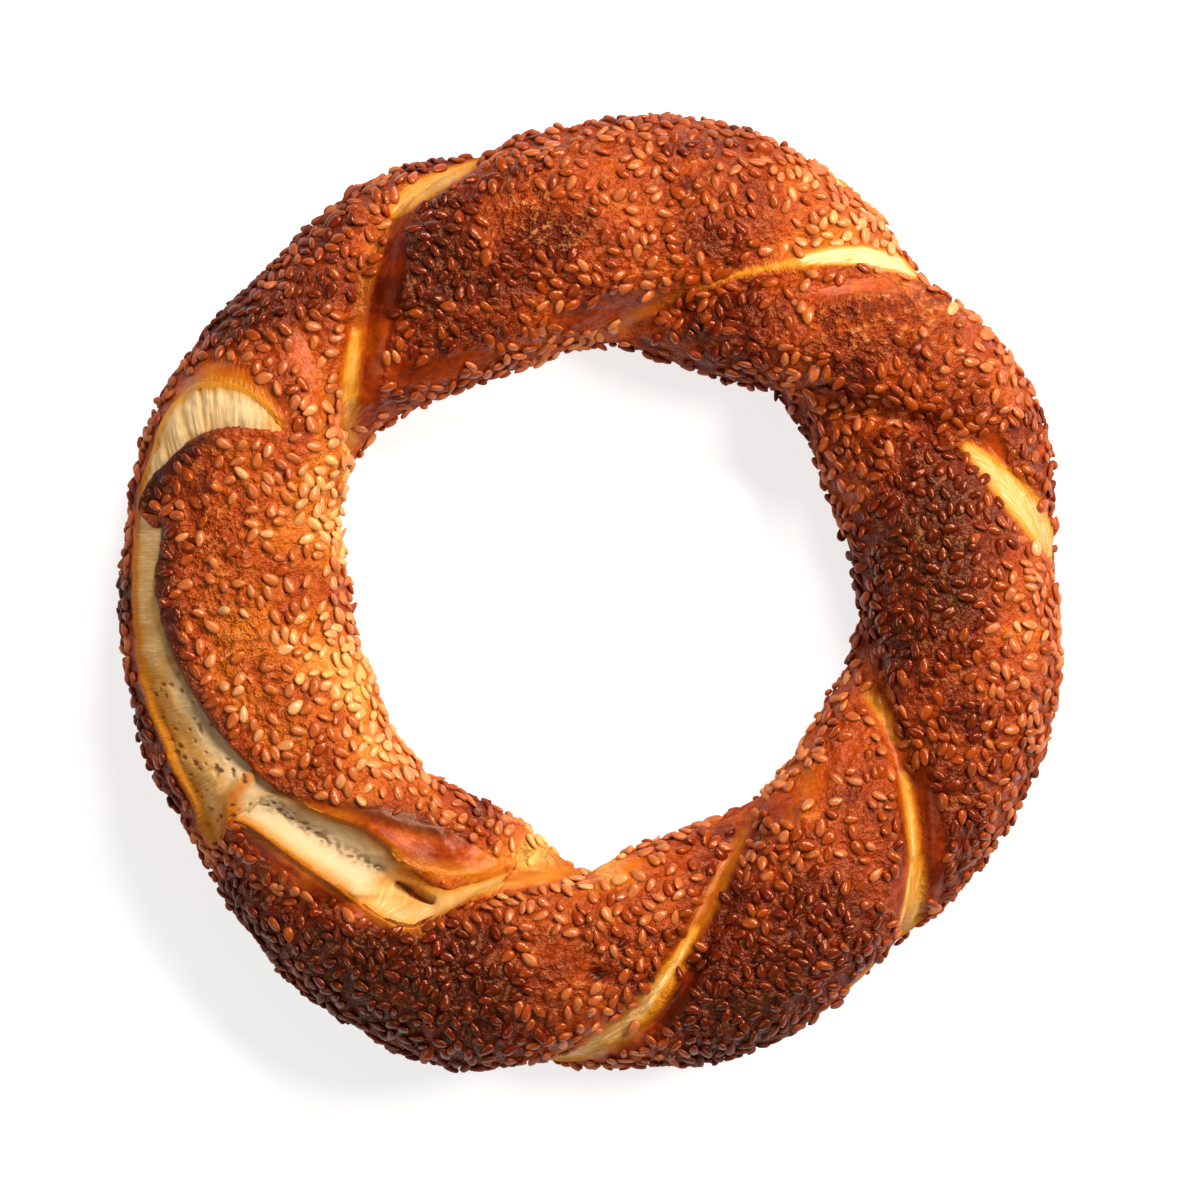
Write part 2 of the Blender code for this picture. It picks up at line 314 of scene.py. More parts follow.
    def relief(self, theta: Array, psi: Array, radius: Array) -> tuple[Array, Array, Array]:
        """How far the surface lies under the envelope, and how far it is from the seams on either side.

        A strand swells between its two seams as a power of a sine, and each seam adds a narrow groove.

        Args:
            theta: angles round the ring.
            psi: section angles.
            radius: the distance from the ring's axis.

        Returns:
            The depth, and the distances back and forward to the nearest seams, in millimetres.
        """
        angles, depths = self.seam_lines(psi)
        behind, ahead = np.mod(theta - angles, 360), np.mod(angles - theta, 360)
        last, following = behind.argmin(axis=0)[None], ahead.argmin(axis=0)[None]
        back = np.take_along_axis(behind, last, 0)[0]
        forward = np.take_along_axis(ahead, following, 0)[0]
        depth_back = np.take_along_axis(depths, last, 0)[0]
        depth_forward = np.take_along_axis(depths, following, 0)[0]
        share = back / np.maximum(back + forward, 1e-6)
        swell = 1 - np.sin(np.pi * share) ** self.strand_roundness
        broad = (depth_back * (1 - share) + depth_forward * share) * swell
        per_degree = np.radians(1) * radius * self.seam_slant
        back, forward = back * per_degree, forward * per_degree
        groove_back = depth_back * np.exp(-((back / self.groove_width) ** self.fall))
        groove_forward = depth_forward * np.exp(-((forward / self.groove_width) ** self.fall))
        groove = np.maximum(groove_back, groove_forward)
        return (1 - self.groove_share) * broad + self.groove_share * groove, back, forward

    def surface(self, theta: Array, psi: Array) -> Array:
        """Points of the ring: a superellipse section, moved inwards along its own normal by the relief.

        Args:
            theta: angles round the ring, in one list.
            psi: section angles from 0 to 360, in one list.

        Returns:
            x, y and z in millimetres, one row a point.
        """
        outer, hole, crown = self.envelope(theta)
        middle, half_width = (outer + hole) / 2, (outer - hole) / 2
        level = self.widest_level * crown
        across, up = np.cos(np.radians(psi)), np.sin(np.radians(psi))
        fullness = np.where(up >= 0, self.top_fullness, self.base_fullness)
        rise = np.where(up >= 0, crown - level, level + self.sink)
        offset = half_width * np.sign(across) * np.abs(across) ** (2 / fullness)
        height = level + rise * np.sign(up) * np.abs(up) ** (2 / fullness)
        out_across = np.sign(offset) * np.abs(offset / half_width) ** (fullness - 1) / half_width
        out_up = np.sign(up) * np.abs((height - level) / rise) ** (fullness - 1) / rise
        length = np.hypot(out_across, out_up)
        sunk, _, _ = self.relief(theta, psi, middle + offset)
        radius = middle + offset - sunk * out_across / length
        height = np.maximum(height - sunk * out_up / length, 0)
        angle = np.radians(theta)
        x = radius * np.cos(angle) + self.centre_x
        y = radius * np.sin(angle) + self.centre_y
        return np.stack([x, y, height], axis=-1)

    def polar(self, places: Array) -> tuple[Array, Array]:
        """The angle theta and the radius of places on the table, about the ring's own centre.

        Args:
            places: x and y in millimetres on the last axis.

        Returns:
            Degrees and millimetres.
        """
        x, y = places[..., 0] - self.centre_x, places[..., 1] - self.centre_y
        return np.mod(np.degrees(np.arctan2(y, x)), 360), np.hypot(x, y)


class Tone(Enum):
    """What a stretch of crust is like: pale, bare of seeds, rough where seeds came off, or burnt."""

    PALE = "pale"
    BARE = "bare"
    SCARRED = "scarred"
    BURNT = "burnt"


@dataclass(frozen=True)
class Ribbon:
    """A band along a line in the photograph: each stop is a pixel's column and row and a half-width."""

    stops: tuple[tuple[float, float, float], ...]
    strength: float = 1.0
    fade: float = 4.0

    def cover(self, places: Array) -> Array:
        """How much of the band lies on each place: 1 inside, easing to 0 over the fade at its edge.

        Args:
            places: x and y in millimetres.

        Returns:
            A share from 0 to the strength, one a place.
        """
        line = PHOTO.to_table(np.array(self.stops)[:, :2])
        half = np.array(self.stops)[:, 2] * PHOTO.mm_per_pixel
        fade = self.fade * PHOTO.mm_per_pixel
        away = distance_to_line(places, line, half)
        return self.strength * smooth_step(0.5 - away / (2 * fade))


@dataclass(frozen=True)
class Crease:
    """A fold pressed into the dough along a line of pixels: its depth and its width, in millimetres."""

    depth: float
    width: float
    stops: tuple[tuple[float, float], ...]

    def fall(self, places: Array) -> Array:
        """How far the skin is pressed in at each place: a bell curve of the distance from the line.

        Args:
            places: x and y in millimetres.

        Returns:
            Millimetres, one a place.
        """
        line = PHOTO.to_table(np.array(self.stops))
        away = np.clip(distance_to_line(places, line, np.zeros(len(line))), 0, None)
        return self.depth * np.exp(-((away / self.width) ** 2))


@dataclass(frozen=True)
class Patch:
    """A place darker or lighter than the rest, most of them baked colour and a few painted light: a
    pixel, a spread in pixels and an amount.
    """

    x: float
    y: float
    spread: float
    amount: float


def distance_to_line(places: Array, line: Array, half: Array) -> Array:
    """The distance from places to a line of straight runs, less the line's half-width there.

    Args:
        places: x and y, one row a place.
        line: x and y of the line's corners.
        half: the half-width at each corner.

    Returns:
        Millimetres, negative inside the line's width.
    """
    nearest = np.full(len(places), np.inf)
    for start, end, half_start, half_end in zip(line, line[1:], half, half[1:]):
        run = end - start
        share = np.clip((places - start) @ run / max(run @ run, TINY), 0, 1)
        away = np.linalg.norm(places - start - share[:, None] * run, axis=1)
        nearest = np.minimum(nearest, away - half_start - share * (half_end - half_start))
    return nearest


def inside_distance(places: Array, outline: Array) -> Array:
    """The distance from places to a closed outline, positive inside it.

    A place is inside where a line from it to the right crosses the outline an odd number of times.

    Args:
        places: x and y, one row a place.
        outline: the corners, in order.

    Returns:
        Millimetres, one a place.
    """
    closed = np.vstack([outline, outline[:1]])
    away = distance_to_line(places, closed, np.zeros(len(closed)))
    crossings = np.zeros(len(places), int)
    for start, end in zip(closed, closed[1:]):
        spans = (start[1] > places[:, 1]) != (end[1] > places[:, 1])
        rise = end[1] - start[1]
        rise = rise if abs(rise) > TINY else TINY
        reach = start[0] + (places[:, 1] - start[1]) / rise * (end[0] - start[0])
        crossings += spans & (places[:, 0] < reach)
    return np.where(crossings % 2 == 1, away, -away)


@dataclass(frozen=True)
class Station:
    """A place along the burst: the pixels of its lip and of its flap, its depth and the flap's rise."""

    lip_x: float
    lip_y: float
    flap_x: float
    flap_y: float
    depth: float
    flap_rise: float


@dataclass(frozen=True)
class BurstLine:
    """The burst: where the skin split, from the arch at the upper left to the pocket at the bottom."""

    stations: tuple[Station, ...] = (
        Station(284, 428, 285, 434, 0.2, 0.1),
        Station(264, 405, 262, 432, 0.8, 0.2),
        Station(240, 391, 238, 429, 1.2, 0.5),
        Station(212, 387, 213, 433, 1.5, 0.8),
        Station(186, 393, 193, 443, 1.7, 1.0),
        Station(168, 414, 174, 460, 1.8, 1.2),
        Station(154, 442, 158, 475, 1.8, 1.4),
        Station(144, 472, 147, 496, 1.6, 1.5),
        Station(139, 496, 146, 512, 1.4, 1.5),
        Station(137, 520, 165, 520, 1.1, 0.9),
        Station(135, 550, 163, 550, 1.0, 1.0),
        Station(134, 580, 158, 580, 1.0, 1.2),
        Station(134, 612, 163, 612, 1.1, 1.2),
        Station(136, 645, 171, 644, 1.3, 1.0),
        Station(139, 676, 183, 669, 1.8, 0.8),
        Station(148, 706, 199, 697, 2.1, 0.7),
        Station(161, 738, 216, 723, 2.4, 0.6),
        Station(177, 776, 237, 747, 2.5, 0.6),
        Station(193, 806, 256, 765, 2.5, 0.6),
        Station(205, 842, 268, 776, 2.6, 0.6),
        Station(219, 846, 276, 782, 2.4, 0.6),
        Station(231, 820, 284, 789, 2.6, 0.6),
        Station(254, 826, 308, 803, 3.0, 0.6),
        Station(276, 842, 334, 815, 3.3, 0.6),
        Station(307, 862, 366, 826, 3.4, 0.6),
        Station(338, 882, 389, 843, 3.4, 0.7),
        Station(360, 900, 405, 862, 3.4, 0.7),
        Station(385, 916, 422, 876, 3.2, 0.6),
        Station(412, 925, 446, 883, 2.6, 0.3),
        Station(440, 912, 472, 878, 1.8, 0.2),
        Station(470, 896, 500, 868, 0.9, 0.1),
        Station(500, 886, 518, 862, 0.3, 0.0),
    )

    swell_reach: float = 3.4
    lip_clearance: float = 3.0
    edge_fade: float = 0.8

    def lips(self) -> tuple[Array, Array]:
        """The burst's two edges on the table.

        Returns:
            The lip's corners and the flap's, in millimetres.
        """
        lip = PHOTO.to_table(np.array([(stop.lip_x, stop.lip_y) for stop in self.stations]))
        flap = PHOTO.to_table(np.array([(stop.flap_x, stop.flap_y) for stop in self.stations]))
        return lip, flap

    def inside(self, places: Array) -> Array:
        """The distance from places to the burst's edge, positive between the lip and the flap.

        Args:
            places: x and y in millimetres.

        Returns:
            Millimetres, one a place.
        """
        lip, flap = self.lips()
        return inside_distance(places, np.vstack([lip, flap[::-1]]))

    def flap_swell(self, places: Array) -> Array:
        """How far the crust behind the flap's edge stands up, a bell curve of the distance from the edge.

        Args:
            places: x and y in millimetres.

        Returns:
            Millimetres, one a place, nothing inside the burst.
        """
        lip, flap = self.lips()
        rises = np.array([stop.flap_rise for stop in self.stations])
        near = distance_to_line(places, flap, -rises)
        bare = distance_to_line(places, flap, np.zeros(len(rises)))
        rise = np.clip(near - bare, 0, None)
        to_lip = distance_to_line(places, lip, np.zeros(len(rises)))
        behind = smooth_step((to_lip - bare) / self.lip_clearance)
        outside = smooth_step(0.5 - self.inside(places) / self.edge_fade)
        return rise * np.exp(-((bare / self.swell_reach) ** 2)) * behind * outside


@dataclass(frozen=True)
class Crust:
    """The skin of the bread: the ring drawn in to make room for the seeds, with the dough's own lumps."""

    form: RingForm = RingForm()
    burst: BurstLine = BurstLine()
    inset: float = 0.75
    base_level: float = 0.35
    lumps: tuple[tuple[float, float], ...] = ((14.0, 0.5), (6.0, 0.46), (2.6, 0.24), (1.3, 0.12))
    most_lump: float = 0.8
    girth: float = 105.0
    crown: float = 30.0
    crown_room: float = 1.1
    creases: tuple[Crease, ...] = (
        Crease(2.4, 1.5, ((822, 404), (860, 408), (905, 418), (940, 434), (964, 448))),
        Crease(1.0, 1.6, ((964, 448), (990, 480), (1012, 512), (1034, 548))),
        Crease(1.3, 1.2, ((628, 338), (662, 318), (702, 300), (752, 284), (800, 276))),
        Crease(1.0, 2.0, ((428, 196), (392, 232), (370, 280), (360, 340), (352, 400), (352, 440))),
        Crease(1.2, 1.3, ((922, 925), (922, 880), (916, 830), (908, 780), (896, 730), (880, 690))),
        Crease(1.2, 1.3, ((620, 1050), (658, 1018), (688, 975), (712, 925), (738, 868), (752, 820))),
        Crease(1.0, 1.6, ((430, 905), (480, 896), (530, 884), (580, 872))),
        Crease(0.8, 2.4, ((300, 330), (330, 372), (345, 420))),
        Crease(1.9, 0.9, ((594, 972), (600, 975))),
        Crease(-0.7, 1.8, ((345, 806), (392, 813), (442, 828))),
        Crease(0.8, 1.0, ((600, 940), (590, 958), (574, 978), (556, 984))),
    )
    noise_seed: int = 5
    normal_step: float = 0.5
    frame_step: float = 0.6

    def points(self, theta: Array, psi: Array) -> Array:
        """Points of the skin: the ring's surface, moved along its normal.

        The inset and the creases move it inwards, and the lumps and the flap's swell in or out.

        Args:
            theta: angles round the ring, in one list.
            psi: section angles, in one list.

        Returns:
            x, y and z in millimetres, one row a point.
        """
        base = self.form.surface(theta, np.mod(psi, 360))
        out = self.ring_normal(theta, psi)
        moved = self.lumpiness(base) - self.inset
        places = base[:, :2]
        pressed = sum(crease.fall(places) for crease in self.creases)
        moved += np.where(np.mod(psi, 360) < 180, self.burst.flap_swell(places) - pressed, 0)
        placed = base + moved[:, None] * out
        return self.between_levels(placed)

    def between_levels(self, points: Array) -> Array:
        """Points kept above the floor and eased under the CAD solid's top.

        Args:
            points: x, y and z in millimetres, one row a point.

        Returns:
            The points with their heights kept in range.
        """
        over = np.maximum(points[:, 2] - self.crown, 0)
        height = np.minimum(points[:, 2], self.crown) + self.crown_room * np.tanh(over / self.crown_room)
        return np.column_stack([points[:, :2], np.maximum(height, self.base_level)])

    def lumpiness(self, base: Array) -> Array:
        """The dough's lumps: noise of several sizes, added up and kept under the most for a lump.

        Args:
            base: points of the ring in millimetres.

        Returns:
            Millimetres, one a point.
        """
        moved = sum(height * lattice_noise(base, size, self.noise_seed + index)
                    for index, (size, height) in enumerate(self.lumps))
        return self.most_lump * np.tanh(moved / self.most_lump)

    def ring_normal(self, theta: Array, psi: Array) -> Array:
        """The ring's outward normals, from the surface a small step to each side.

        Args:
            theta: angles round the ring.
            psi: section angles.

        Returns:
            Unit vectors, one row a point.
        """
        step, level = self.normal_step, np.mod(psi, 360)
        along = self.form.surface(theta + step, level) - self.form.surface(theta - step, level)
        above, below = np.mod(psi + step, 360), np.mod(psi - step, 360)
        around = self.form.surface(theta, above) - self.form.surface(theta, below)
        return unit(np.cross(along, around))

    def frames(self, theta: Array, psi: Array) -> tuple[Array, Array, Array]:
        """Points of the skin with its direction along the ring and its outward normal there.

        Args:
            theta: angles round the ring.
            psi: section angles.

        Returns:
            Points, directions and normals, one row each.
        """
        step = self.frame_step
        count = len(theta)
        all_theta = np.concatenate([theta, theta + step, theta - step, theta, theta])
        all_psi = np.concatenate([psi, psi, psi, psi + step * 2, psi - step * 2])
        spread = self.points(all_theta, all_psi).reshape(5, count, 3)
        along = unit(spread[1] - spread[2])
        out = unit(np.cross(along, spread[3] - spread[4]))
        return spread[0], along, out

    def section_angle(self, places: Array) -> tuple[Array, Array]:
        """The angles theta and psi of the top of the ring under places of the photograph.

        The section's radius falls as psi grows from 0 to 180, so psi is found by halving that range.

        Args:
            places: x and y in millimetres.

        Returns:
            theta and psi, one each a place.
        """
        theta, radius = self.form.polar(places)
        low, high = np.zeros(len(theta)), np.full(len(theta), 180.0)
        for _ in range(16):
            half = (low + high) / 2
            _, at = self.form.polar(self.form.surface(theta, half)[:, :2])
            outside = at > radius
            low, high = np.where(outside, half, low), np.where(outside, high, half)
        return theta, (low + high) / 2


@dataclass(frozen=True)
class Bake:
    """Where the crust is dark, golden, pale, bare of seeds, scarred or burnt, read off the photograph."""

    pale: tuple[Ribbon, ...] = (
        # The seam at the upper left: cream, then golden, then cream again.
        Ribbon(((480, 160, 4), (448, 178, 10), (416, 194, 12), (396, 212, 8)), 0.74, 5.0),
        Ribbon(((398, 208, 8), (378, 243, 9), (369, 275, 9), (361, 310, 8), (356, 335, 6)), 0.20, 5.0),
        Ribbon(((357, 335, 5), (352, 375, 8), (351, 410, 9), (352, 440, 6)), 0.72, 5.0),
        # The seam at the upper right, which thins out towards the hole.
        Ribbon(((917, 276, 4), (893, 262, 11), (862, 257, 10), (832, 257, 9),
                (804, 262, 6)), 1.0, 4.0),
        Ribbon(((804, 262, 6), (768, 269, 4), (730, 277, 3), (700, 289, 3)), 0.6, 5.0),
        Ribbon(((690, 292, 3), (655, 306, 4), (625, 322, 5)), 0.35, 7.0),
        # The seam at the right.
        Ribbon(((1053, 556, 7), (1042, 531, 14), (1024, 507, 16), (1004, 485, 14), (985, 465, 10),
                (966, 448, 5)), 0.86, 7.0),
        # The seam at the lower right, with a cream line in it.
        Ribbon(((903, 938, 8), (914, 905, 11), (917, 872, 9), (913, 840, 6), (908, 805, 5),
                (902, 772, 4)), 0.70, 5.0),
        Ribbon(((899, 930, 2), (906, 895, 2), (911, 860, 2), (910, 820, 2), (906, 780, 1)), 1.0, 2.5),
        Ribbon(((895, 740, 4), (880, 710, 8), (868, 694, 6)), 0.5, 6.0),
        # The seam at the bottom, and the golden stretch above it.
        Ribbon(((546, 1061, 4), (580, 1051, 7), (615, 1031, 9), (640, 1009, 9), (662, 981, 7),
                (682, 949, 5), (694, 928, 4)), 0.88, 6.0),
        Ribbon(((560, 1060, 9), (590, 1048, 13), (625, 1026, 15), (652, 998, 13),
                (676, 962, 10)), 0.5, 6.0),
        Ribbon(((680, 954, 8), (697, 924, 9), (713, 894, 9), (729, 861, 8), (743, 834, 6)), 0.30, 5.0),
        # Golden dough at the rim, below the seam at the lower right.
        Ribbon(((852, 985, 5), (872, 968, 4), (888, 950, 4)), 0.6, 5.0),
        # The fold beside the burst.
        Ribbon(((505, 884, 5), (540, 876, 8), (572, 868, 7)), 0.45, 9.0),
        # The orange skin round the burst: over the arch, along the lip and on the glazed flap.
        Ribbon(((180, 400, 4), (192, 388, 6), (214, 380, 7), (240, 384, 7), (264, 398, 6),
                (284, 426, 4)), 0.5, 8.0),
        Ribbon(((236, 812, 3), (262, 836, 3), (300, 864, 3), (340, 890, 3), (384, 920, 4),
                (424, 930, 4)), 0.34, 9.0),
        Ribbon(((296, 800, 3), (336, 819, 4), (366, 836, 6), (390, 850, 7), (412, 866, 6)), 0.5, 9.0),
        Ribbon(((404, 858, 5), (432, 868, 8), (470, 872, 8), (500, 868, 4)), 0.42, 10.0),
    )
    bare: tuple[Ribbon, ...] = (
        # The smooth flanks of the seams.
        Ribbon(((404, 226, 9), (394, 262, 15), (384, 300, 16), (376, 340, 15), (372, 380, 12),
                (366, 420, 8))),
        Ribbon(((676, 960, 9), (700, 920, 10), (722, 876, 10), (742, 834, 9),
                (754, 800, 8)), 1.0, 5.0),
        Ribbon(((356, 330, 9), (352, 380, 11), (352, 440, 9)), 1.0, 5.0),
        Ribbon(((904, 900, 14), (914, 860, 12), (908, 806, 9), (896, 750, 8),
                (874, 700, 9)), 1.0, 5.0),
        Ribbon(((890, 285, 8), (850, 288, 9), (815, 296, 7))),
        Ribbon(((990, 440, 9), (1000, 462, 8))),
        Ribbon(((936, 892, 8), (936, 852, 12), (930, 812, 11), (918, 772, 8))),
        Ribbon(((600, 1056, 6), (640, 1036, 9), (672, 1004, 9), (700, 960, 6))),
        # The glazed flap and the fold beside it.
        Ribbon(((312, 802, 5), (352, 812, 10), (388, 826, 20), (425, 842, 25), (465, 857, 19),
                (498, 866, 9))),
        Ribbon(((500, 882, 8), (530, 878, 11), (560, 873, 10), (588, 870, 6))),
        # Worn places on the top and towards the hole.
        Ribbon(((300, 332, 11), (310, 370, 13), (322, 408, 9)), 0.8, 8.0),
        Ribbon(((404, 374, 13), (444, 368, 14), (484, 356, 9)), 0.85, 8.0),
        Ribbon(((562, 318, 8), (600, 316, 11), (655, 306, 8)), 0.8, 9.0),
        Ribbon(((752, 818, 10), (790, 798, 14), (830, 772, 14), (856, 736, 9)), 0.8, 10.0),
        Ribbon(((604, 862, 9), (660, 866, 13), (716, 852, 11)), 0.7, 10.0),
        Ribbon(((584, 872, 7), (614, 868, 10), (646, 862, 7)), 1.0, 8.0),
        # Round the small dark pit.
        Ribbon(((592, 972, 9), (604, 975, 9)), 1.0, 4.0),
        Ribbon(((548, 950, 14), (582, 962, 16)), 0.75, 10.0),
        # The skin along the burst's lip.
        Ribbon(((246, 830, 6), (278, 856, 8), (312, 880, 8), (346, 903, 8), (384, 922, 7))),
        Ribbon(((186, 384, 9), (212, 374, 12), (240, 376, 12), (266, 390, 9),
                (284, 412, 7)), 1.0, 5.0),
    )
    scarred: tuple[Ribbon, ...] = (
        # The worn tops of the upper left and upper right strands, and round the pit.
        Ribbon(((505, 215, 16), (540, 222, 26), (575, 236, 18)), 0.95, 10.0),
        Ribbon(((835, 330, 22), (880, 312, 38), (925, 312, 26)), 1.0, 12.0),
        Ribbon(((545, 950, 22), (575, 962, 26), (600, 965, 14)), 0.8, 12.0),
        # The crumbly skin of the flap.
        Ribbon(((222, 462, 14), (218, 520, 30), (220, 590, 38), (242, 650, 34), (276, 705, 22),
                (322, 760, 10)), 0.66, 12.0),
        Ribbon(((690, 190, 12), (700, 170, 9)), 0.6, 8.0),
        Ribbon(((520, 850, 12), (550, 865, 14), (585, 858, 8)), 0.7, 8.0),
    )
    burnt: tuple[Ribbon, ...] = (
        # The flap's tip and its rim.
        Ribbon(((212, 438, 5), (182, 456, 10), (158, 482, 13), (150, 504, 11)), 0.95, 10.0),
        Ribbon(((168, 530, 6), (164, 572, 12), (168, 610, 14), (178, 650, 11), (198, 690, 8),
                (222, 728, 5)), 0.86, 13.0),
        # The ridge of the glazed flap.
        Ribbon(((322, 800, 2), (352, 806, 6), (392, 814, 9), (426, 823, 10),
                (448, 833, 4)), 0.86, 8.0),
        # The pit.
        Ribbon(((595, 973, 6), (600, 974, 6)), 1.0, 4.0),
    )
    # Most patches are baked colour. A few are painted light: the top right rim of the upper strand at
    # (850, 195), the right side of the right-hand strand at (1030, 640) with a painted highlight at
    # (1010, 600), and the hole side of the flap at (352, 540) and (362, 665) face the lights and are made
    # paler.
    patches: tuple[Patch, ...] = (
        Patch(440, 300, 48, 0.34), Patch(430, 225, 30, 0.16), Patch(540, 272, 30, 0.24),
        Patch(735, 322, 38, 0.30), Patch(610, 270, 32, 0.03), Patch(690, 165, 70, -0.02),
        Patch(850, 195, 40, -0.17), Patch(850, 365, 45, 0.14), Patch(960, 390, 40, 0.16),
        Patch(945, 480, 40, 0.22), Patch(945, 600, 52, 0.38), Patch(880, 560, 45, 0.14),
        Patch(960, 790, 60, 0.14), Patch(1030, 640, 34, -0.15), Patch(820, 780, 50, -0.05),
        Patch(840, 890, 50, 0.16), Patch(750, 1000, 62, 0.40), Patch(660, 860, 44, -0.12),
        Patch(800, 790, 46, -0.10), Patch(340, 960, 62, 0.36), Patch(450, 1010, 70, 0.38),
        Patch(560, 950, 45, 0.06), Patch(240, 890, 40, 0.22), Patch(300, 870, 22, -0.30),
        Patch(360, 908, 20, -0.26), Patch(530, 875, 40, -0.28), Patch(420, 850, 32, -0.10),
        Patch(470, 855, 26, -0.06), Patch(290, 320, 55, 0.18), Patch(215, 310, 40, 0.18),
        Patch(310, 375, 30, -0.06), Patch(352, 540, 30, -0.44), Patch(362, 665, 30, -0.40),
        Patch(340, 460, 28, -0.24), Patch(250, 545, 45, -0.02), Patch(280, 600, 40, -0.02),
        Patch(290, 700, 50, -0.14), Patch(380, 765, 40, -0.20), Patch(480, 820, 34, 0.02),
        Patch(545, 850, 26, -0.22), Patch(230, 378, 22, -0.36), Patch(240, 480, 42, -0.12),
        Patch(245, 600, 56, -0.10), Patch(340, 815, 20, -0.20), Patch(570, 955, 40, -0.12),
        Patch(880, 320, 44, -0.14), Patch(300, 380, 40, -0.14), Patch(1010, 600, 40, -0.10),
        Patch(800, 250, 30, -0.10), Patch(185, 500, 26, 0.20), Patch(125, 600, 16, 0.30),
        Patch(140, 720, 18, 0.25), Patch(165, 800, 22, 0.22), Patch(640, 330, 30, -0.04),
        Patch(742, 832, 28, 0.12), Patch(615, 870, 24, -0.30), Patch(712, 904, 22, 0.36),
        Patch(364, 290, 20, 0.16), Patch(480, 380, 40, -0.05),
    )
    middle: float = 0.60
    mottles: tuple[tuple[float, float], ...] = ((9.0, 0.14), (3.5, 0.14))
    mottle_seed: int = 21
    seam_paler: float = 0.10
    seam_reach: float = 3.5
    underside_darker: float = 0.05
    underside_half: float = 75.0
    underside_ease: float = 30.0
    palest: float = 0.02
    side_fade: float = 40.0

    def cover(self, tone: Tone, points: Array, psi: Array) -> Array:
        """How much of a tone lies on each point: all of it on the top, fading under the widest level.

        Args:
            tone: which of the tones.
            points: x, y and z in millimetres.
            psi: section angles from 0 to 360.

        Returns:
            A share from 0 to 1, one a point.
        """
        ribbons = {Tone.PALE: self.pale, Tone.BARE: self.bare,
                   Tone.SCARRED: self.scarred, Tone.BURNT: self.burnt}
        total = np.zeros(len(points))
        for ribbon in ribbons[tone]:
            total = np.maximum(total, ribbon.cover(points[:, :2]))
        below = np.minimum(np.mod(-psi, 360), np.mod(psi - 180, 360))
        return total * np.where(psi <= 180, 1.0, smooth_step(1.0 - below / self.side_fade))

    def toast(self, points: Array, psi: Array, form: RingForm) -> Array:
        """How dark the crust is baked, 0 golden to 1 nearly black.

        It is a middle value, a bell curve for each patch and noise of two sizes, a little less at the
        seams and a little more underneath. A few patches are painted light, making paler the rims that
        face the lights.

        Args:
            points: x, y and z in millimetres.
            psi: section angles from 0 to 360.
            form: the ring, for its seams.

        Returns:
            One value a point.
        """
        total = np.full(len(points), self.middle)
        for patch in self.patches:
            centre = PHOTO.to_table(np.array([patch.x, patch.y]))
            away = np.linalg.norm(points[:, :2] - centre, axis=1)
            total += patch.amount * np.exp(-0.5 * (away / (patch.spread * PHOTO.mm_per_pixel)) ** 2)
        total += sum(amount * lattice_noise(points, size, self.mottle_seed + index)
                     for index, (size, amount) in enumerate(self.mottles))
        theta, radius = form.polar(points[:, :2])
        _, back, forward = form.relief(theta, psi, radius)
        total -= self.seam_paler * np.exp(-((np.minimum(back, forward) / self.seam_reach) ** 2))
        underneath = smooth_step((self.underside_half - np.abs(psi - 270)) / self.underside_ease)
        return np.clip(total + self.underside_darker * underneath, self.palest, 1.0)


@dataclass(frozen=True)
class PointNames:
    """The names of the point attributes that carry the bake from the meshes to the materials."""

    toast: str = "toast"
    pale: str = "pale"
    bare: str = "bare"
    scar: str = "scar"
    # burnt is char on the skin, and painted shade on the burst's floor.
    burnt: str = "burnt"
    crumb: str = "crumb"
    glaze: str = "glaze"
    along: str = "along"
    across: str = "across"
    shade: str = "shade"


NAMES = PointNames()


def glazed(out: Array, steepest: float = 0.1, ease: float = 0.65) -> Array:
    """How glossy the skin is, from its normals: full on the top, and nothing on the steep sides."""
    return smooth_step((out[:, 2] - steepest) / ease)


def make_object(name: str, points: Array, faces: Array, values: dict[str, Array]) -> bpy.types.Object:
    """Makes a smooth mesh object from whole arrays, with its point attributes.

    Args:
        name: the piece's name.
        points: x, y and z in millimetres, one row a point.
        faces: four corners a row; a three-sided face repeats its last corner.
        values: attribute name to one value a point.

    Returns:
        The object, at the origin, linked to the scene.
    """
    mesh = bpy.data.meshes.new(name)
    sides = np.where(faces[:, 2] == faces[:, 3], 3, 4)
    loops = faces.ravel()[np.ravel(np.arange(4) < sides[:, None])]
    starts = np.concatenate([[0], np.cumsum(sides)[:-1]])
    mesh.vertices.add(len(points))
    mesh.vertices.foreach_set("co", (points * MM).astype(np.float32).ravel())
    mesh.loops.add(len(loops))
    mesh.loops.foreach_set("vertex_index", loops.astype(np.int32))
    mesh.polygons.add(len(faces))
    mesh.polygons.foreach_set("loop_start", starts.astype(np.int32))
    mesh.polygons.foreach_set("loop_total", sides.astype(np.int32))
    mesh.update(calc_edges=True)
    mesh.shade_smooth()
    for key, held in values.items():
        layer = mesh.attributes.new(key, "FLOAT", "POINT")
        layer.data.foreach_set("value", np.asarray(held, np.float32))
    made = bpy.data.objects.new(name, mesh)
    bpy.context.scene.collection.objects.link(made)
    return made


def closed_grid(rows: int, columns: int, turn: int) -> Array:
    """Faces of a grid that closes on itself both ways, its rows shifted where its columns close.

    Args:
        rows: rows round the ring.
        columns: columns round the section.
        turn: how many rows further on a row is when it has gone once round the section.

    Returns:
        Four corners a row.
    """
    ring, section = np.meshgrid(np.arange(rows), np.arange(columns), indexing="ij")
    closing = section == columns - 1
    ring_across = ring + np.where(closing, turn, 0)
    section_across = np.where(closing, 0, section + 1)
    corners = ((ring, section), (ring + 1, section),
               (ring_across + 1, section_across), (ring_across, section_across))
    numbers = [np.mod(row, rows) * columns + column for row, column in corners]
    return np.stack(numbers, axis=-1).reshape(-1, 4)


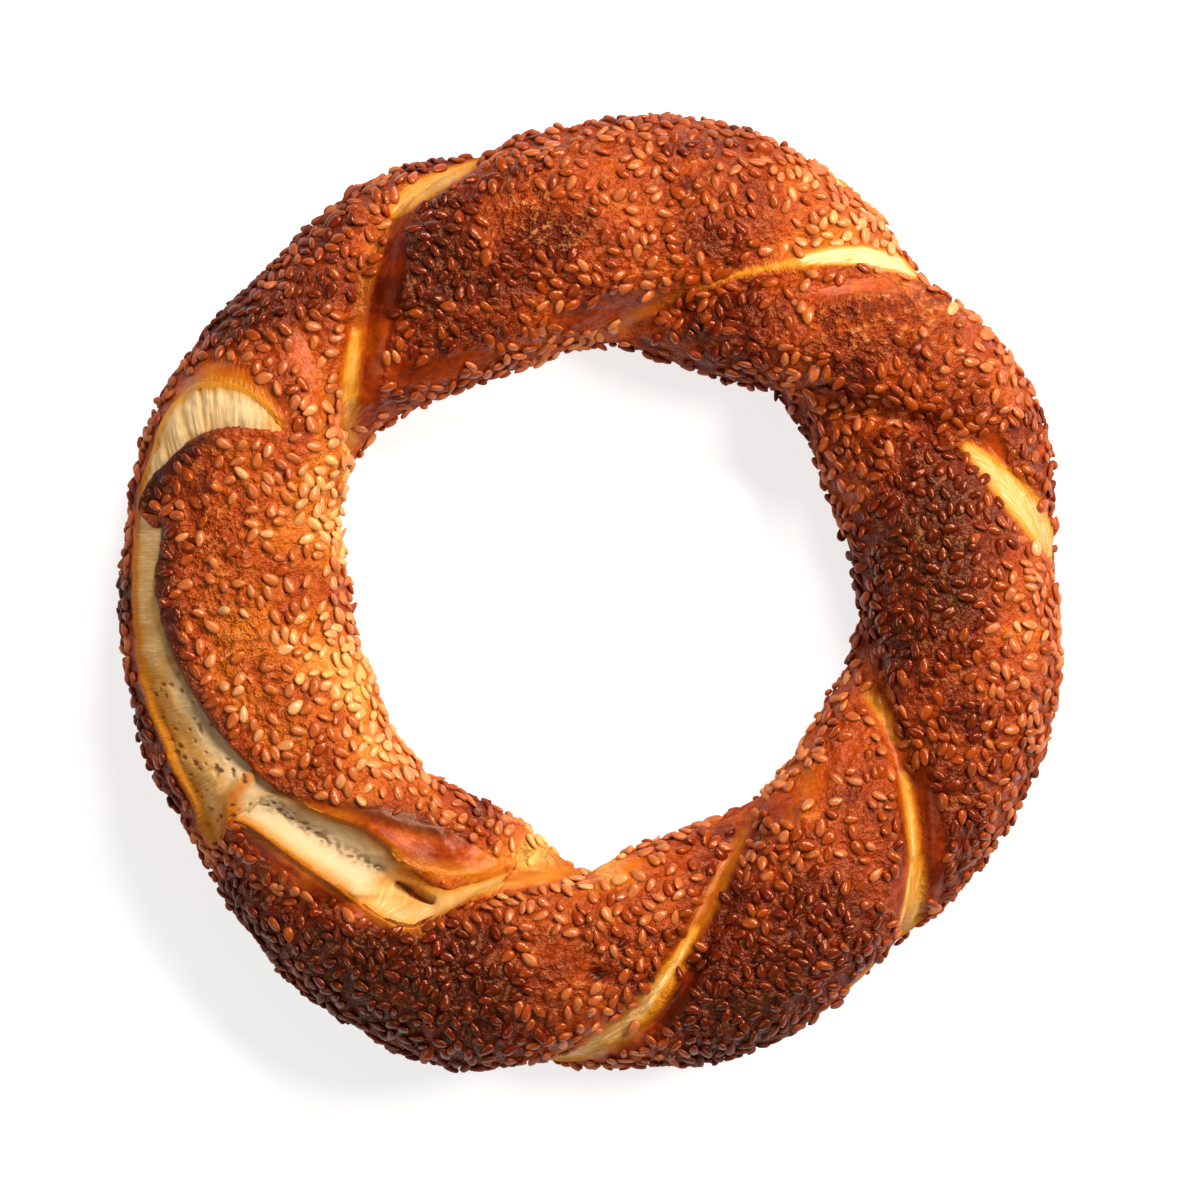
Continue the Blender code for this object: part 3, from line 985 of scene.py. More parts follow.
@dataclass
class CrustPiece:
    """The bread's skin: one closed mesh whose rows follow the strands, sunk under the burst."""

    crust: Crust
    bake: Bake
    rows_per_strand: int = 68
    columns_above: int = 142
    columns_below: int = 42
    above_from: float = -20.0
    above_to: float = 200.0
    crowding: float = 0.35
    hidden_depth: float = 6.0
    hidden_from: float = 0.1
    hidden_run: float = 1.9

    def section_angles(self) -> Array:
        """Section angles of the columns, close together above and wider apart underneath.

        Returns:
            Angles that grow from the first one over 0, in one list.
        """
        above = np.linspace(self.above_from, self.above_to, self.columns_above, endpoint=False)
        below = np.linspace(self.above_to, self.above_from + 360, self.columns_below, endpoint=False)
        both = np.concatenate([above, below])
        first = int(np.argmin(np.where(both >= 0, both, np.inf)))
        return np.concatenate([both[first:], both[:first] + 360])

    def grid(self) -> tuple[Array, Array]:
        """theta and psi of every point: each row keeps one share of the way between two seams.

        Returns:
            theta and psi as rows by columns.
        """
        psi = self.section_angles()
        share = np.arange(self.rows_per_strand) / self.rows_per_strand
        share = share - self.crowding * np.sin(2 * np.pi * share) / (2 * np.pi)
        angles, _ = self.crust.form.seam_lines(psi)
        gaps = np.mod(np.roll(angles, -1, axis=0) - angles, 360)
        theta = angles[:, None, :] + share[None, :, None] * gaps[:, None, :]
        theta = theta.reshape(-1, len(psi))
        return theta, np.broadcast_to(psi, theta.shape)

    def build(self) -> bpy.types.Object:
        """Makes the skin.

        Returns:
            The finished object.
        """
        theta, psi = self.grid()
        rows, columns = theta.shape
        theta, psi = theta.ravel(), psi.ravel()
        points = self.crust.points(theta, psi)
        inside = self.crust.burst.inside(points[:, :2])
        sunk = self.hidden_depth * smooth_step((inside - self.hidden_from) / self.hidden_run)
        sunk = sunk * (psi < 180)
        out = self.crust.ring_normal(theta, psi)
        _, radius = self.crust.form.polar(points[:, :2])
        _, back, forward = self.crust.form.relief(theta, psi, radius)
        values = {
            NAMES.toast: self.bake.toast(points, psi, self.crust.form),
            NAMES.pale: self.bake.cover(Tone.PALE, points, psi),
            NAMES.bare: self.bake.cover(Tone.BARE, points, psi),
            NAMES.scar: self.bake.cover(Tone.SCARRED, points, psi),
            NAMES.burnt: self.bake.cover(Tone.BURNT, points, psi),
            NAMES.crumb: np.zeros(len(points)),
            NAMES.glaze: glazed(out),
            NAMES.along: psi / 360 * self.crust.girth,
            NAMES.across: np.where(back < forward, back, -forward),
        }
        points = points - sunk[:, None] * out
        faces = closed_grid(rows, columns, self.crust.form.seams_per_turn * self.rows_per_strand)
        return make_object("crust", points, faces, values)


@dataclass(frozen=True)
class Stretch:
    """A stretch of the burst from one station to another, eased in and out over a length in stations."""

    low: float
    high: float
    soft: float

    def cover(self, run: Array) -> Array:
        """1 between the two stations and 0 beyond them, for places given in stations."""
        rising = smooth_step((run - self.low) / self.soft + 0.5)
        return rising * smooth_step((self.high - run) / self.soft + 0.5)


@dataclass
class BurstPiece:
    """The inside of the burst: pale dough and torn crumb between the outer lip and the burnt flap."""

    crust: Crust
    bake: Bake
    rows: int = 620
    floor_columns: int = 44
    margin: float = 2.4
    flap_margin: float = 3.2
    most_undercut: float = 1.3
    lip_ragged: float = 0.10
    flap_ragged: float = 0.26
    ragged_seed: int = 51
    end_ease: float = 1.2
    lip_depth: float = 0.35
    arch_shallower: float = 0.27
    arch_end: float = 7.5
    arch_ease: float = 2.0
    hollow_from: float = 20.4
    hollow_ease: float = 1.4
    floor_glaze: float = 0.5
    station_length: float = 5.0
    skin_psi: float = 60.0
    grains: tuple[tuple[float, int], ...] = ((0.55, 31), (1.6, 32), (5.0, 33))
    arch: Stretch = Stretch(0.5, 7.0, 1.5)
    side: Stretch = Stretch(8.0, 13.5, 2.0)
    lower: Stretch = Stretch(14.0, 20.0, 1.5)
    pocket: Stretch = Stretch(20.6, 26.0, 0.8)
    bowl: Stretch = Stretch(26.0, 30.5, 1.0)
    ridge: Ribbon = Ribbon(((262, 768, 5), (246, 781, 7), (236, 797, 8), (229, 820, 9)), 1.0, 6.0)
    pores: Ribbon = Ribbon(((250, 787, 3), (268, 800, 4), (297, 820, 4), (323, 837, 5), (347, 853, 4),
                            (377, 867, 3), (397, 877, 2)), 1.0, 8.0)
    gap: Ribbon = Ribbon(((399, 884, 2), (414, 890, 4), (432, 898, 2)), 1.0, 4.0)
    step: Ribbon = Ribbon(((352, 889, 3), (378, 892, 4), (404, 893, 3)), 1.0, 4.0)

    def build(self) -> bpy.types.Object:
        """Makes the burst: a closed section of lip, floor, undercut, flap and hidden back.

        The stations are joined by smooth curves, and the section is carried along them. At each row it is
        laid out in millimetres from the lip and from the flap, and raised along the skin's normal.

        Returns:
            The finished object.
        """
        stations = self.crust.burst.stations
        run = np.linspace(0, len(stations) - 1, self.rows)
        lip = self.follow(run, [(stop.lip_x, stop.lip_y) for stop in stations])
        flap = self.follow(run, [(stop.flap_x, stop.flap_y) for stop in stations])
        lip, flap = PHOTO.to_table(lip), PHOTO.to_table(flap)
        torn_lip = self.torn(lip, flap, self.lip_ragged, self.ragged_seed)
        lip, flap = torn_lip, self.torn(flap, lip, self.flap_ragged, self.ragged_seed + 1)
        depth = self.follow(run, [(stop.depth,) for stop in stations])[:, 0]
        rise = self.follow(run, [(stop.flap_rise,) for stop in stations])[:, 0]
        width = np.linalg.norm(flap - lip, axis=1)
        across = unit(flap - lip)
        end = smooth_step(np.minimum(run, len(stations) - 1 - run) / self.end_ease)
        in_arch = smooth_step((self.arch_end - run) / self.arch_ease)
        lip_step = self.lip_depth - self.arch_shallower * in_arch
        hollow = smooth_step((run - self.hollow_from) / self.hollow_ease)
        reach, raised, on_floor = self.section(width, depth, rise, end, lip_step, hollow)
        places = lip[:, None, :] + reach[:, :, None] * across[:, None, :]
        shape = reach.shape
        theta, psi = self.crust.section_angle(places.reshape(-1, 2))
        points = self.crust.form.surface(theta, psi)
        out = self.crust.ring_normal(theta, psi)
        share = reach / width[:, None]
        floor = on_floor.ravel()
        along = np.broadcast_to(run[:, None], shape).ravel()
        sunk_places = (points + (raised.ravel() - self.crust.inset)[:, None] * out)[:, :2]
        marks = self.marks(points, sunk_places, share.ravel(), along, floor, reach.ravel())
        lifted = raised.ravel() + marks.pop("relief") + self.crust.lumpiness(points) - self.crust.inset
        points = points + lifted[:, None] * out
        points = self.crust.between_levels(points)
        values = {
            **marks,
            NAMES.glaze: glazed(out) * np.where(floor, self.floor_glaze, 1.0),
            NAMES.along: reach.ravel(),
            NAMES.across: along * self.station_length,
        }
        rows, columns = shape
        faces = self.tube_faces(rows, columns)
        caps = np.stack([points[:columns].mean(axis=0), points[-columns:].mean(axis=0)])
        points = np.vstack([points, caps])
        values = {key: np.concatenate([held, [held[0], held[-1]]]) for key, held in values.items()}
        return make_object("burst", points, faces, values)

    def torn(self, edge: Array, other: Array, amount: float, seed: int) -> Array:
        """Moves an edge to and fro across the burst by noise of two sizes, as torn dough has it.

        Args:
            edge: x and y along the edge.
            other: x and y of the facing edge.
            amount: millimetres.
            seed: the noise's draw.

        Returns:
            The moved edge.
        """
        flat = np.column_stack([edge, np.zeros(len(edge))])
        wave = lattice_noise(flat, 2.4, seed) + 0.6 * lattice_noise(flat, 0.9, seed + 10)
        return edge + (amount * wave)[:, None] * unit(other - edge)

    def follow(self, run: Array, stops: list[tuple[float, ...]]) -> Array:
        """A smooth curve through stops one step apart: a Catmull-Rom spline.

        Args:
            run: how far along, in steps.
            stops: the values at each step.

        Returns:
            The values along the run, one row each.
        """
        held = np.array(stops, float)
        held = np.vstack([2 * held[0] - held[1], held, 2 * held[-1] - held[-2]])
        index = np.clip(np.floor(run).astype(int), 0, len(stops) - 2)
        part = (run - index)[:, None]
        a, b, c, d = (held[index + step] for step in range(4))
        curve = 2 * b + (c - a) * part + (2 * a - 5 * b + 4 * c - d) * part**2
        return 0.5 * (curve + (3 * b - a - 3 * c + d) * part**3)

    def section(self, width: Array, depth: Array, rise: Array, end: Array,
                lip_step: Array, hollow: Array) -> tuple[Array, Array, Array]:
        """The closed section at each row: how far across each point lies, and how high.

        Where the floor runs under the flap it falls as a power of the way across, with a swell in its
        middle. Where it is a hollow with two soft edges it has the shape of half a sine wave.

        Args:
            width: from the lip to the flap, in millimetres.
            depth: the floor's depth at the flap.
            rise: how far the flap stands up.
            end: 0 at the burst's two ends, easing to 1.
            lip_step: the share of the floor's depth that it has at the lip.
            hollow: 0 where the floor runs under the flap, 1 where it is a hollow.

        Returns:
            Reach, height and whether the point is on the floor, as rows by columns.
        """
        wide, deep, up, live = width[:, None], depth[:, None], rise[:, None], end[:, None]
        ones = np.ones_like(wide)
        round_floor = hollow[:, None]
        under = np.minimum(self.most_undercut, 0.25 * wide) * live * (1 - round_floor)
        lip_deep = lip_step[:, None] * deep * (1 - 0.8 * round_floor)
        edge_deep = deep * (1 - 0.9 * round_floor)
        up = up * (1 - 0.7 * round_floor)
        lip_side = [
            (-self.margin * ones, -1.2 * ones),
            (-1.3 * ones, -0.15 * ones),
            (-0.7 * ones, 0.12 * live - 0.05),
            (-0.25 * ones, 0.18 * live - 0.05),
            (0.05 * wide / np.maximum(wide, 1), -0.25 * lip_deep),
        ]
        floor = []
        start = np.minimum(0.5, 0.12 * wide)
        for part in np.linspace(0, 1, self.floor_columns):
            height = -lip_deep - (deep - lip_deep) * part**1.3
            height = height + 0.25 * deep * np.sin(np.pi * part) ** 2
            hollowed = -deep * (0.07 + 0.63 * np.sin(np.pi * part))
            height = height * (1 - round_floor) + hollowed * round_floor
            floor.append((start + part * (wide + under - start), height))
        flap_side = [
            (wide + under * 1.25, -0.75 * edge_deep),
            (wide + under * 0.9, -0.42 * edge_deep),
            (wide + under * 0.4, -0.26 * edge_deep - 0.1 * up),
            (wide - 0.05 * live, -0.18 * edge_deep + 0.1 * up),
            (wide - 0.22 * live, 0.12 * up),
            (wide - 0.16 * live, 0.62 * up),
            (wide + 0.15 * live, 0.94 * up + 0.05 * live),
            (wide + 0.55 * live, 1.0 * up + 0.07 * live),
            (wide + 1.1 * ones, 0.9 * up + 0.03 * live),
            (wide + 1.9 * ones, 0.62 * up - 0.12),
            (wide + self.flap_margin * ones, 0.25 * up - 1.0),
            (wide + 2.0 * ones, -3.6 * ones),
            (0.5 * wide, -5.0 * ones),
            (-1.6 * ones, -3.0 * ones),
        ]
        parts = lip_side + floor + flap_side
        reach = np.hstack([part[0] * ones for part in parts])
        height = np.hstack([part[1] * ones for part in parts])
        on_floor = [False] * len(lip_side) + [True] * len(floor) + [False] * len(flap_side)
        return reach, height, np.broadcast_to(np.array(on_floor), reach.shape)

    def tube_faces(self, rows: int, columns: int) -> Array:
        """Faces of a tube of closed sections, with a fan at each end.

        Args:
            rows: sections along the tube.
            columns: points round each.

        Returns:
            Four corners a row, with the fans' last corner repeated.
        """
        row, column = np.meshgrid(np.arange(rows - 1), np.arange(columns), indexing="ij")
        after = (column + 1) % columns
        wall = np.stack([row * columns + column, (row + 1) * columns + column,
                         (row + 1) * columns + after, row * columns + after], axis=-1).reshape(-1, 4)
        round_it = np.arange(columns)
        after = (round_it + 1) % columns
        first, last = rows * columns, rows * columns + 1
        base = (rows - 1) * columns
        hub, far_hub = np.full(columns, first), np.full(columns, last)
        start = np.stack([round_it, after, hub, hub], axis=-1)
        finish = np.stack([base + after, base + round_it, far_hub, far_hub], axis=-1)
        return np.vstack([wall, start, finish])

    def pits(self, points: Array, pitch: float, seed: int, level: float, ease: float) -> Array:
        """1 in small pits, where noise of a pitch stands over a level, easing to 0 round them."""
        return smooth_step((lattice_noise(points, pitch, seed) - level) / ease)

    def marks(self, points: Array, places: Array, share: Array, run: Array, floor: Array,
              reach: Array) -> dict[str, Array]:
        """What marks the burst: torn crumb, pores, threads of dough and orange edges, their relief, and
        painted shade on its floor.

        Each stretch of the burst has shares of its own, and the sums are weighted by how much of the
        stretch lies on each point.

        Args:
            points: x, y and z of the skin under each point.
            places: x and y of the burst's own surface.
            share: 0 at the lip and 1 at the flap.
            run: how far along the burst, in stations.
            floor: True on the floor.
            reach: millimetres from the lip, negative on the skin outside it.

        Returns:
            The attributes, and the relief in millimetres.
        """
        stretches = (self.arch, self.side, self.lower, self.pocket, self.bowl)
        arch, side, lower, pocket, bowl = (stretch.cover(run) for stretch in stretches)
        lines = (self.ridge, self.pores, self.gap, self.step)
        on_ridge, on_pores, on_gap, on_step = (mark.cover(places) for mark in lines)
        fine, middle, wide = (lattice_noise(points, pitch, seed) for pitch, seed in self.grains)
        pits = self.pits(points, 0.6, 34, -0.05, 0.3)
        few_pits = self.pits(points, 1.0, 35, 0.52, 0.16)
        drawn_out = np.column_stack([run * 4.4, share * 1.1, np.zeros(len(run))])
        threads = lattice_noise(drawn_out, 1.0, 36)
        threads += 0.5 * lattice_noise(drawn_out * (2.1, 1.4, 1.0), 1.0, 37)
        in_floor = floor.astype(float)
        near_lip = smooth_step(1.0 - share / 0.22)
        near_flap = smooth_step((share - 0.80 + 0.14 * pocket) / (0.2 + 0.12 * pocket))
        soft_edge = near_flap * np.maximum(pocket, bowl)

        relief = in_floor * (0.09 * middle + 0.03 * fine + 0.25 * wide)
        relief += in_floor * (arch * 0.24 + side * 0.08) * threads
        relief -= in_floor * lower * few_pits * 0.6
        relief -= in_floor * (pocket * on_pores * (0.4 + 0.5 * pits) + on_gap * 2.2)
        relief += in_floor * on_ridge * 1.1
        relief += in_floor * on_step * 0.5

        torn_half = 0.10 + 0.75 * smooth_step((share - 0.4) / 0.3)
        crumb = in_floor * (0.66 * arch + 0.25 * side + lower * torn_half + pocket + bowl * 0.15)
        crumb = crumb * (1.0 - 0.85 * near_lip) * (1.0 - 0.9 * on_ridge) * (1.0 - 0.95 * soft_edge)
        crumb = np.clip(crumb + (0.12 * wide + 0.22 * arch * threads) * in_floor, 0, 1)

        pale = 0.74 + 0.10 * arch + 0.10 * side - 0.20 * near_lip * (1.0 - 0.6 * side)
        pale = in_floor * np.clip(pale - 0.34 * soft_edge + 0.12 * wide + 0.06 * middle, 0, 1)
        pale = pale * (1.0 - 0.5 * on_ridge)

        # Painted shade on the floor, put in with the char colour: along the crease of pores in the
        # pocket, in the deep gap under the flap and in the pits of the lower stretch. The pocket is
        # darker towards the flap, and the lower stretch and the pocket are a little darker all over.
        shaded = on_pores * (0.26 + 0.46 * pits) + 0.20 * smooth_step((share - 0.35) / 0.3)
        dark = pocket * shaded + on_gap * 0.75 + lower * few_pits * 0.4
        dark = (dark + 0.09 * lower + 0.06 * pocket) * in_floor

        psi = np.full(len(points), self.skin_psi)
        burnt = self.bake.cover(Tone.BURNT, points, psi)
        toast = self.bake.toast(points, psi, self.crust.form)
        rim = smooth_step((reach + 1.8) / 1.8) * (reach < 1.0) * (0.42 + 0.24 * arch)
        skin_pale = np.maximum(rim, self.bake.cover(Tone.PALE, points, psi))
        skin_bare = np.maximum(np.minimum(2.0 * rim, 1.0), self.bake.cover(Tone.BARE, points, psi))
        return {
            "relief": relief,
            NAMES.toast: np.where(floor, 0.30 + 0.1 * near_flap, toast),
            NAMES.pale: np.where(floor, pale, skin_pale),
            NAMES.bare: np.where(floor, 1.0, skin_bare),
            NAMES.scar: np.zeros(len(points)),
            # On the floor the burnt attribute carries the painted shade worked out above.
            NAMES.burnt: np.where(floor, dark, burnt),
            NAMES.crumb: crumb,
        }


class SeedKind(Enum):
    """How dark a seed is toasted, from the palest to the darkest."""

    PALE = "pale"
    GOLDEN = "golden"
    TOASTED = "toasted"
    DARK = "dark"


@dataclass
class SeedCoat:
    """The sesame seeds: flat drops, half sunk in the crust, laid one by one where they find room."""

    crust: Crust
    bake: Bake
    length: float = 2.85
    width: float = 1.88
    thickness: float = 1.0
    sides: int = 8
    rings: int = 5
    tries: int = 90000
    draw: int = 17
    room: float = 0.58
    tilt_spread: float = 15.0
    lowest_psi: float = -80.0
    highest_psi: float = 260.0
    pale_clears: float = 1.6
    scar_clears: float = 0.96
    below_clears: float = 0.7
    hole_clears: float = 0.45
    clumps: tuple[tuple[float, float], ...] = ((9.0, 0.72), (4.0, 0.42))
    clump_level: float = 0.98
    clump_seed: int = 41
    sparsest: float = 0.3
    contrast: float = 2.2
    rim_radius: float = 85.0
    margin: float = 0.5
    flap_margin: float = 1.5
    flap_reach: float = 2.2
    lowest_point: float = 1.2
    size_spread: float = 0.09
    size_limits: tuple[float, float] = (0.76, 1.2)
    width_spread: float = 0.07
    thickness_spread: float = 0.08
    lift_limits: tuple[float, float] = (0.08, 0.58)
    floor_gap: float = 0.02
    toast_gain: float = 1.15
    toast_shift: float = -0.11
    toast_spread: float = 0.07
    burnt_darker: float = 0.42
    kind_limits: tuple[float, float, float] = (0.36, 0.56, 0.74)

    def pattern(self) -> tuple[Array, Array]:
        """One seed, a unit long, wide and thick: a drop, blunt at one end and pointed at the other.

        Its half-width is that of an ellipse, less a share that grows towards the pointed end.

        Returns:
            Points, and faces of four corners.
        """
        angle = np.linspace(0, np.pi, self.rings + 2)[1:-1]
        lengthwise = -0.5 * np.cos(angle)
        half = 0.5 * np.sin(angle) * (1.0 - 0.42 * (lengthwise + 0.1))
        turn = 2 * np.pi * np.arange(self.sides) / self.sides
        y = half[:, None] * np.cos(turn)[None, :]
        thick = 0.5 * np.sin(angle)[:, None] ** 0.7 * (1.0 - 0.5 * lengthwise[:, None])
        z = thick * np.sin(turn)[None, :]
        x = np.broadcast_to(lengthwise[:, None], y.shape)
        body = np.stack([x, y, z], axis=-1).reshape(-1, 3)
        tips = np.array([[-0.5, 0.0, 0.0], [0.53, 0.0, 0.0]])
        ring, side = np.meshgrid(np.arange(self.rings - 1), np.arange(self.sides), indexing="ij")
        after = (side + 1) % self.sides
        here, ahead = ring * self.sides, (ring + 1) * self.sides
        wall = np.stack([here + side, here + after, ahead + after, ahead + side], axis=-1).reshape(-1, 4)
        side = np.arange(self.sides)
        after = (side + 1) % self.sides
        blunt, point = np.full(self.sides, len(body)), np.full(self.sides, len(body) + 1)
        last = (self.rings - 1) * self.sides
        start = np.stack([after, side, blunt, blunt], axis=-1)
        finish = np.stack([last + side, last + after, point, point], axis=-1)
        return np.vstack([body, tips]), np.vstack([wall, start, finish])

    def candidates(self) -> dict[str, Array]:
        """Places where a seed may lie, drawn evenly over the skin and thinned where the crust is bare.

        Far more places are drawn than there is room for, so the wanted density is raised to a power.

        Returns:
            Points, the ring's direction, normals, the bake, and each seed's turn and size.
        """
        drawn = np.random.default_rng(self.draw)
        theta = drawn.uniform(0, 360, self.tries)
        psi = drawn.uniform(self.lowest_psi, self.highest_psi, self.tries)
        points, along, out = self.crust.frames(theta, psi)
        round_psi = np.mod(psi, 360)
        bare = self.bake.cover(Tone.BARE, points, round_psi)
        pale = self.bake.cover(Tone.PALE, points, round_psi)
        scar = self.bake.cover(Tone.SCARRED, points, round_psi)
        _, radius = self.crust.form.polar(points[:, :2])
        inside = np.where(round_psi < 180, self.crust.burst.inside(points[:, :2]), -9.0)
        below = np.minimum(np.mod(-round_psi, 360), np.mod(round_psi - 180, 360))
        low = np.where(round_psi > 180, smooth_step((below - 30) / 50), 0)
        density = (1 - bare) * (1 - np.clip(pale * self.pale_clears, 0, 1))
        density = density * (1 - self.scar_clears * scar) * (1 - self.below_clears * low)
        density *= 1 - self.hole_clears * smooth_step((round_psi - 140) / 30) * (round_psi < 200)
        clumps = sum((share * lattice_noise(points, size, self.clump_seed + index)
                      for index, (size, share) in enumerate(self.clumps)), self.clump_level)
        wanted = density * np.clip(clumps, self.sparsest, 1)
        chance = (radius / self.rim_radius) * wanted**self.contrast
        _, flap = self.crust.burst.lips()
        by_flap = distance_to_line(points[:, :2], flap, np.zeros(len(flap))) < self.flap_reach
        margin = np.where(by_flap, self.flap_margin, self.margin)
        keep = drawn.uniform(0, 1, self.tries) < chance
        keep = keep & (inside < -margin) & (points[:, 2] > self.lowest_point)
        toast = self.bake.toast(points, round_psi, self.crust.form)
        return {
            "points": points[keep],
            "along": along[keep],
            "out": out[keep],
            "toast": toast[keep],
            "glaze": glazed(out[keep]),
            "burnt": self.bake.cover(Tone.BURNT, points, round_psi)[keep],
            "turn": drawn.uniform(0, 2 * np.pi, self.tries)[keep],
            "size": drawn.normal(1.0, self.size_spread, self.tries)[keep].clip(*self.size_limits),
        }

    def settle(self, found: dict[str, Array]) -> Array:
        """Takes the candidates in turn, and keeps each one that has room among those already kept.

        A seed counts as three discs along its length, and two seeds may overlap a little. Kept seeds are
        looked up by cells as wide as a seed is long.

        Args:
            found: the candidates.

        Returns:
            The kept candidates' numbers.
        """
        across = np.cross(found["out"], found["along"])
        turn = found["turn"][:, None]
        axis = np.cos(turn) * found["along"] + np.sin(turn) * across
        half = 0.31 * self.length * found["size"][:, None]
        centres = found["points"]
        discs = np.stack([centres - axis * half, centres, centres + axis * half], axis=1)
        cell = self.length * 1.15
        keys = np.floor(found["points"] / cell).astype(int)
        nearest = (self.width * self.room) ** 2
        held: dict[tuple[int, int, int], list[int]] = {}
        kept: list[int] = []
        steps = list(itertools.product((-1, 0, 1), repeat=3))
        for number, (i, j, k) in enumerate(keys.tolist()):
            near = [other for a, b, c in steps for other in held.get((i + a, j + b, k + c), ())]
            if near:
                gaps = discs[number][None, :, None, :] - discs[near][:, None, :, :]
                if np.einsum("...i,...i->...", gaps, gaps).min() < nearest:
                    continue
            held.setdefault((i, j, k), []).append(number)
            kept.append(number)
        return np.array(kept)

    def build(self) -> list[bpy.types.Object]:
        """Makes one joined mesh for each kind of seed.

        Returns:
            The finished objects.
        """
        found = self.candidates()
        kept = self.settle(found)
        count = len(kept)
        log.info("seeds laid: %d of %d candidates", count, len(found["points"]))
        found = {key: held[kept] for key, held in found.items()}
        drawn = np.random.default_rng(self.draw + 1)
        across = np.cross(found["out"], found["along"])
        turn = found["turn"][:, None]
        axis = np.cos(turn) * found["along"] + np.sin(turn) * across
        tilt = np.radians(drawn.normal(0, self.tilt_spread, (count, 2)))
        sideways = np.cross(found["out"], axis)
        up = unit(found["out"] + np.tan(tilt[:, :1]) * axis + np.tan(tilt[:, 1:]) * sideways)
        axis = unit(axis - np.sum(axis * up, axis=1, keepdims=True) * up)
        side = np.cross(up, axis)
        scale = found["size"][:, None]
        lengths = axis * self.length * scale
        widths = side * self.width * scale * drawn.normal(1.0, self.width_spread, (count, 1))
        heights = up * self.thickness * drawn.normal(1.0, self.thickness_spread, (count, 1))
        lift = drawn.uniform(*self.lift_limits, count)
        centres = found["points"] + lift[:, None] * found["out"]
        body, faces = self.pattern()
        points = (centres[:, None, :] + body[None, :, :1] * lengths[:, None, :]
                  + body[None, :, 1:2] * widths[:, None, :] + body[None, :, 2:] * heights[:, None, :])
        points[..., 2] = np.maximum(points[..., 2], self.floor_gap)
        darkness = self.toast_gain * found["toast"] + self.toast_shift
        darkness += drawn.normal(0, self.toast_spread, count)
        darkness += self.burnt_darker * found["burnt"]
        shades = np.clip(darkness, 0, 1)
        kinds = np.digitize(darkness, self.kind_limits)
        pieces = []
        for index, kind in enumerate(SeedKind):
            chosen = kinds == index
            number = int(chosen.sum())
            placed = points[chosen].reshape(-1, 3)
            offsets = np.arange(number)[:, None, None] * len(body)
            joined = (faces[None] + offsets).reshape(-1, 4)
            values = {
                NAMES.toast: np.repeat(shades[chosen], len(body)),
                NAMES.shade: np.repeat(drawn.uniform(0, 1, number), len(body)),
                NAMES.glaze: np.repeat(found["glaze"][chosen], len(body)),
            }
            pieces.append(make_object(f"seeds_{kind.value}", placed, joined, values))
        return pieces


def link(tree: Tree, source: Socket, target: Socket) -> None:
    """Joins two sockets of a node tree."""
    tree.links.new(source, target)


def attribute(tree: Tree, name: str) -> Socket:
    """The value of a point attribute.

    Args:
        tree: the node tree.
        name: the attribute's name.

    Returns:
        The value socket.
    """
    node = tree.nodes.new("ShaderNodeAttribute")
    node.attribute_name = name
    return node.outputs["Fac"]


def math_node(tree: Tree, operation: str, *inputs: Socket | float) -> Socket:
    """A Math node's output.

    Args:
        tree: the node tree.
        operation: the node's operation.
        inputs: sockets or numbers, in order.

    Returns:
        The value socket.
    """
    node = tree.nodes.new("ShaderNodeMath")
    node.operation = operation
    for socket, given in zip(node.inputs, inputs):
        if isinstance(given, (int, float)):
            socket.default_value = given
        else:
            link(tree, given, socket)
    return node.outputs[0]


def times(tree: Tree, first: Socket | float, second: Socket | float) -> Socket:
    """The product of two values."""
    return math_node(tree, "MULTIPLY", first, second)


def plus(tree: Tree, first: Socket | float, second: Socket | float) -> Socket:
    """The sum of two values."""
    return math_node(tree, "ADD", first, second)


def less(tree: Tree, first: Socket | float, second: Socket | float) -> Socket:
    """The first value less the second."""
    return math_node(tree, "SUBTRACT", first, second)


def mixed(tree: Tree, share: Socket | float, first: Socket | Colour, second: Socket | Colour) -> Socket:
    """A Mix node's colour output.

    Args:
        tree: the node tree.
        share: how much of the second colour.
        first: a colour or a socket.
        second: a colour or a socket.

    Returns:
        The colour socket.
    """
    node = tree.nodes.new("ShaderNodeMix")
    node.data_type = "RGBA"
    for socket, given in zip((node.inputs[0], node.inputs[6], node.inputs[7]), (share, first, second)):
        if isinstance(given, tuple):
            socket.default_value = (*given, 1.0)
        elif isinstance(given, (int, float)):
            socket.default_value = given
        else:
            link(tree, given, socket)
    return node.outputs[2]


def ramp(tree: Tree, value: Socket,
         stops: tuple[tuple[float, Colour], ...]) -> Socket:
    """A colour that runs through stops as a value grows.

    Args:
        tree: the node tree.
        value: the value's socket.
        stops: positions and colours, in order.

    Returns:
        The colour socket.
    """
    node = tree.nodes.new("ShaderNodeValToRGB")
    link(tree, value, node.inputs[0])
    elements = node.color_ramp.elements
    while len(elements) < len(stops):
        elements.new(0.5)
    for element, (position, colour) in zip(elements, stops):
        element.position = position
        element.color = (*colour, 1.0)
    return node.outputs[0]


def noise(tree: Tree, per_metre: float, detail: float, roughness: float) -> Socket:
    """A noise texture's value on Object coordinates.

    Args:
        tree: the node tree.
        per_metre: the texture's scale.
        detail: octaves.
        roughness: how strong the finer octaves are.

    Returns:
        The value socket.
    """
    place = tree.nodes.new("ShaderNodeTexCoord")
    node = tree.nodes.new("ShaderNodeTexNoise")
    link(tree, place.outputs["Object"], node.inputs["Vector"])
    node.inputs["Scale"].default_value = per_metre
    node.inputs["Detail"].default_value = detail
    node.inputs["Roughness"].default_value = roughness
    return node.outputs[0]


def new_material(name: str) -> tuple[bpy.types.Material, Tree, bpy.types.Node]:
    """A new material.

    Args:
        name: the material's name.

    Returns:
        The material, its node tree and its Principled BSDF.
    """
    material = bpy.data.materials.new(name)
    material.use_nodes = True
    tree = material.node_tree
    return material, tree, tree.nodes["Principled BSDF"]


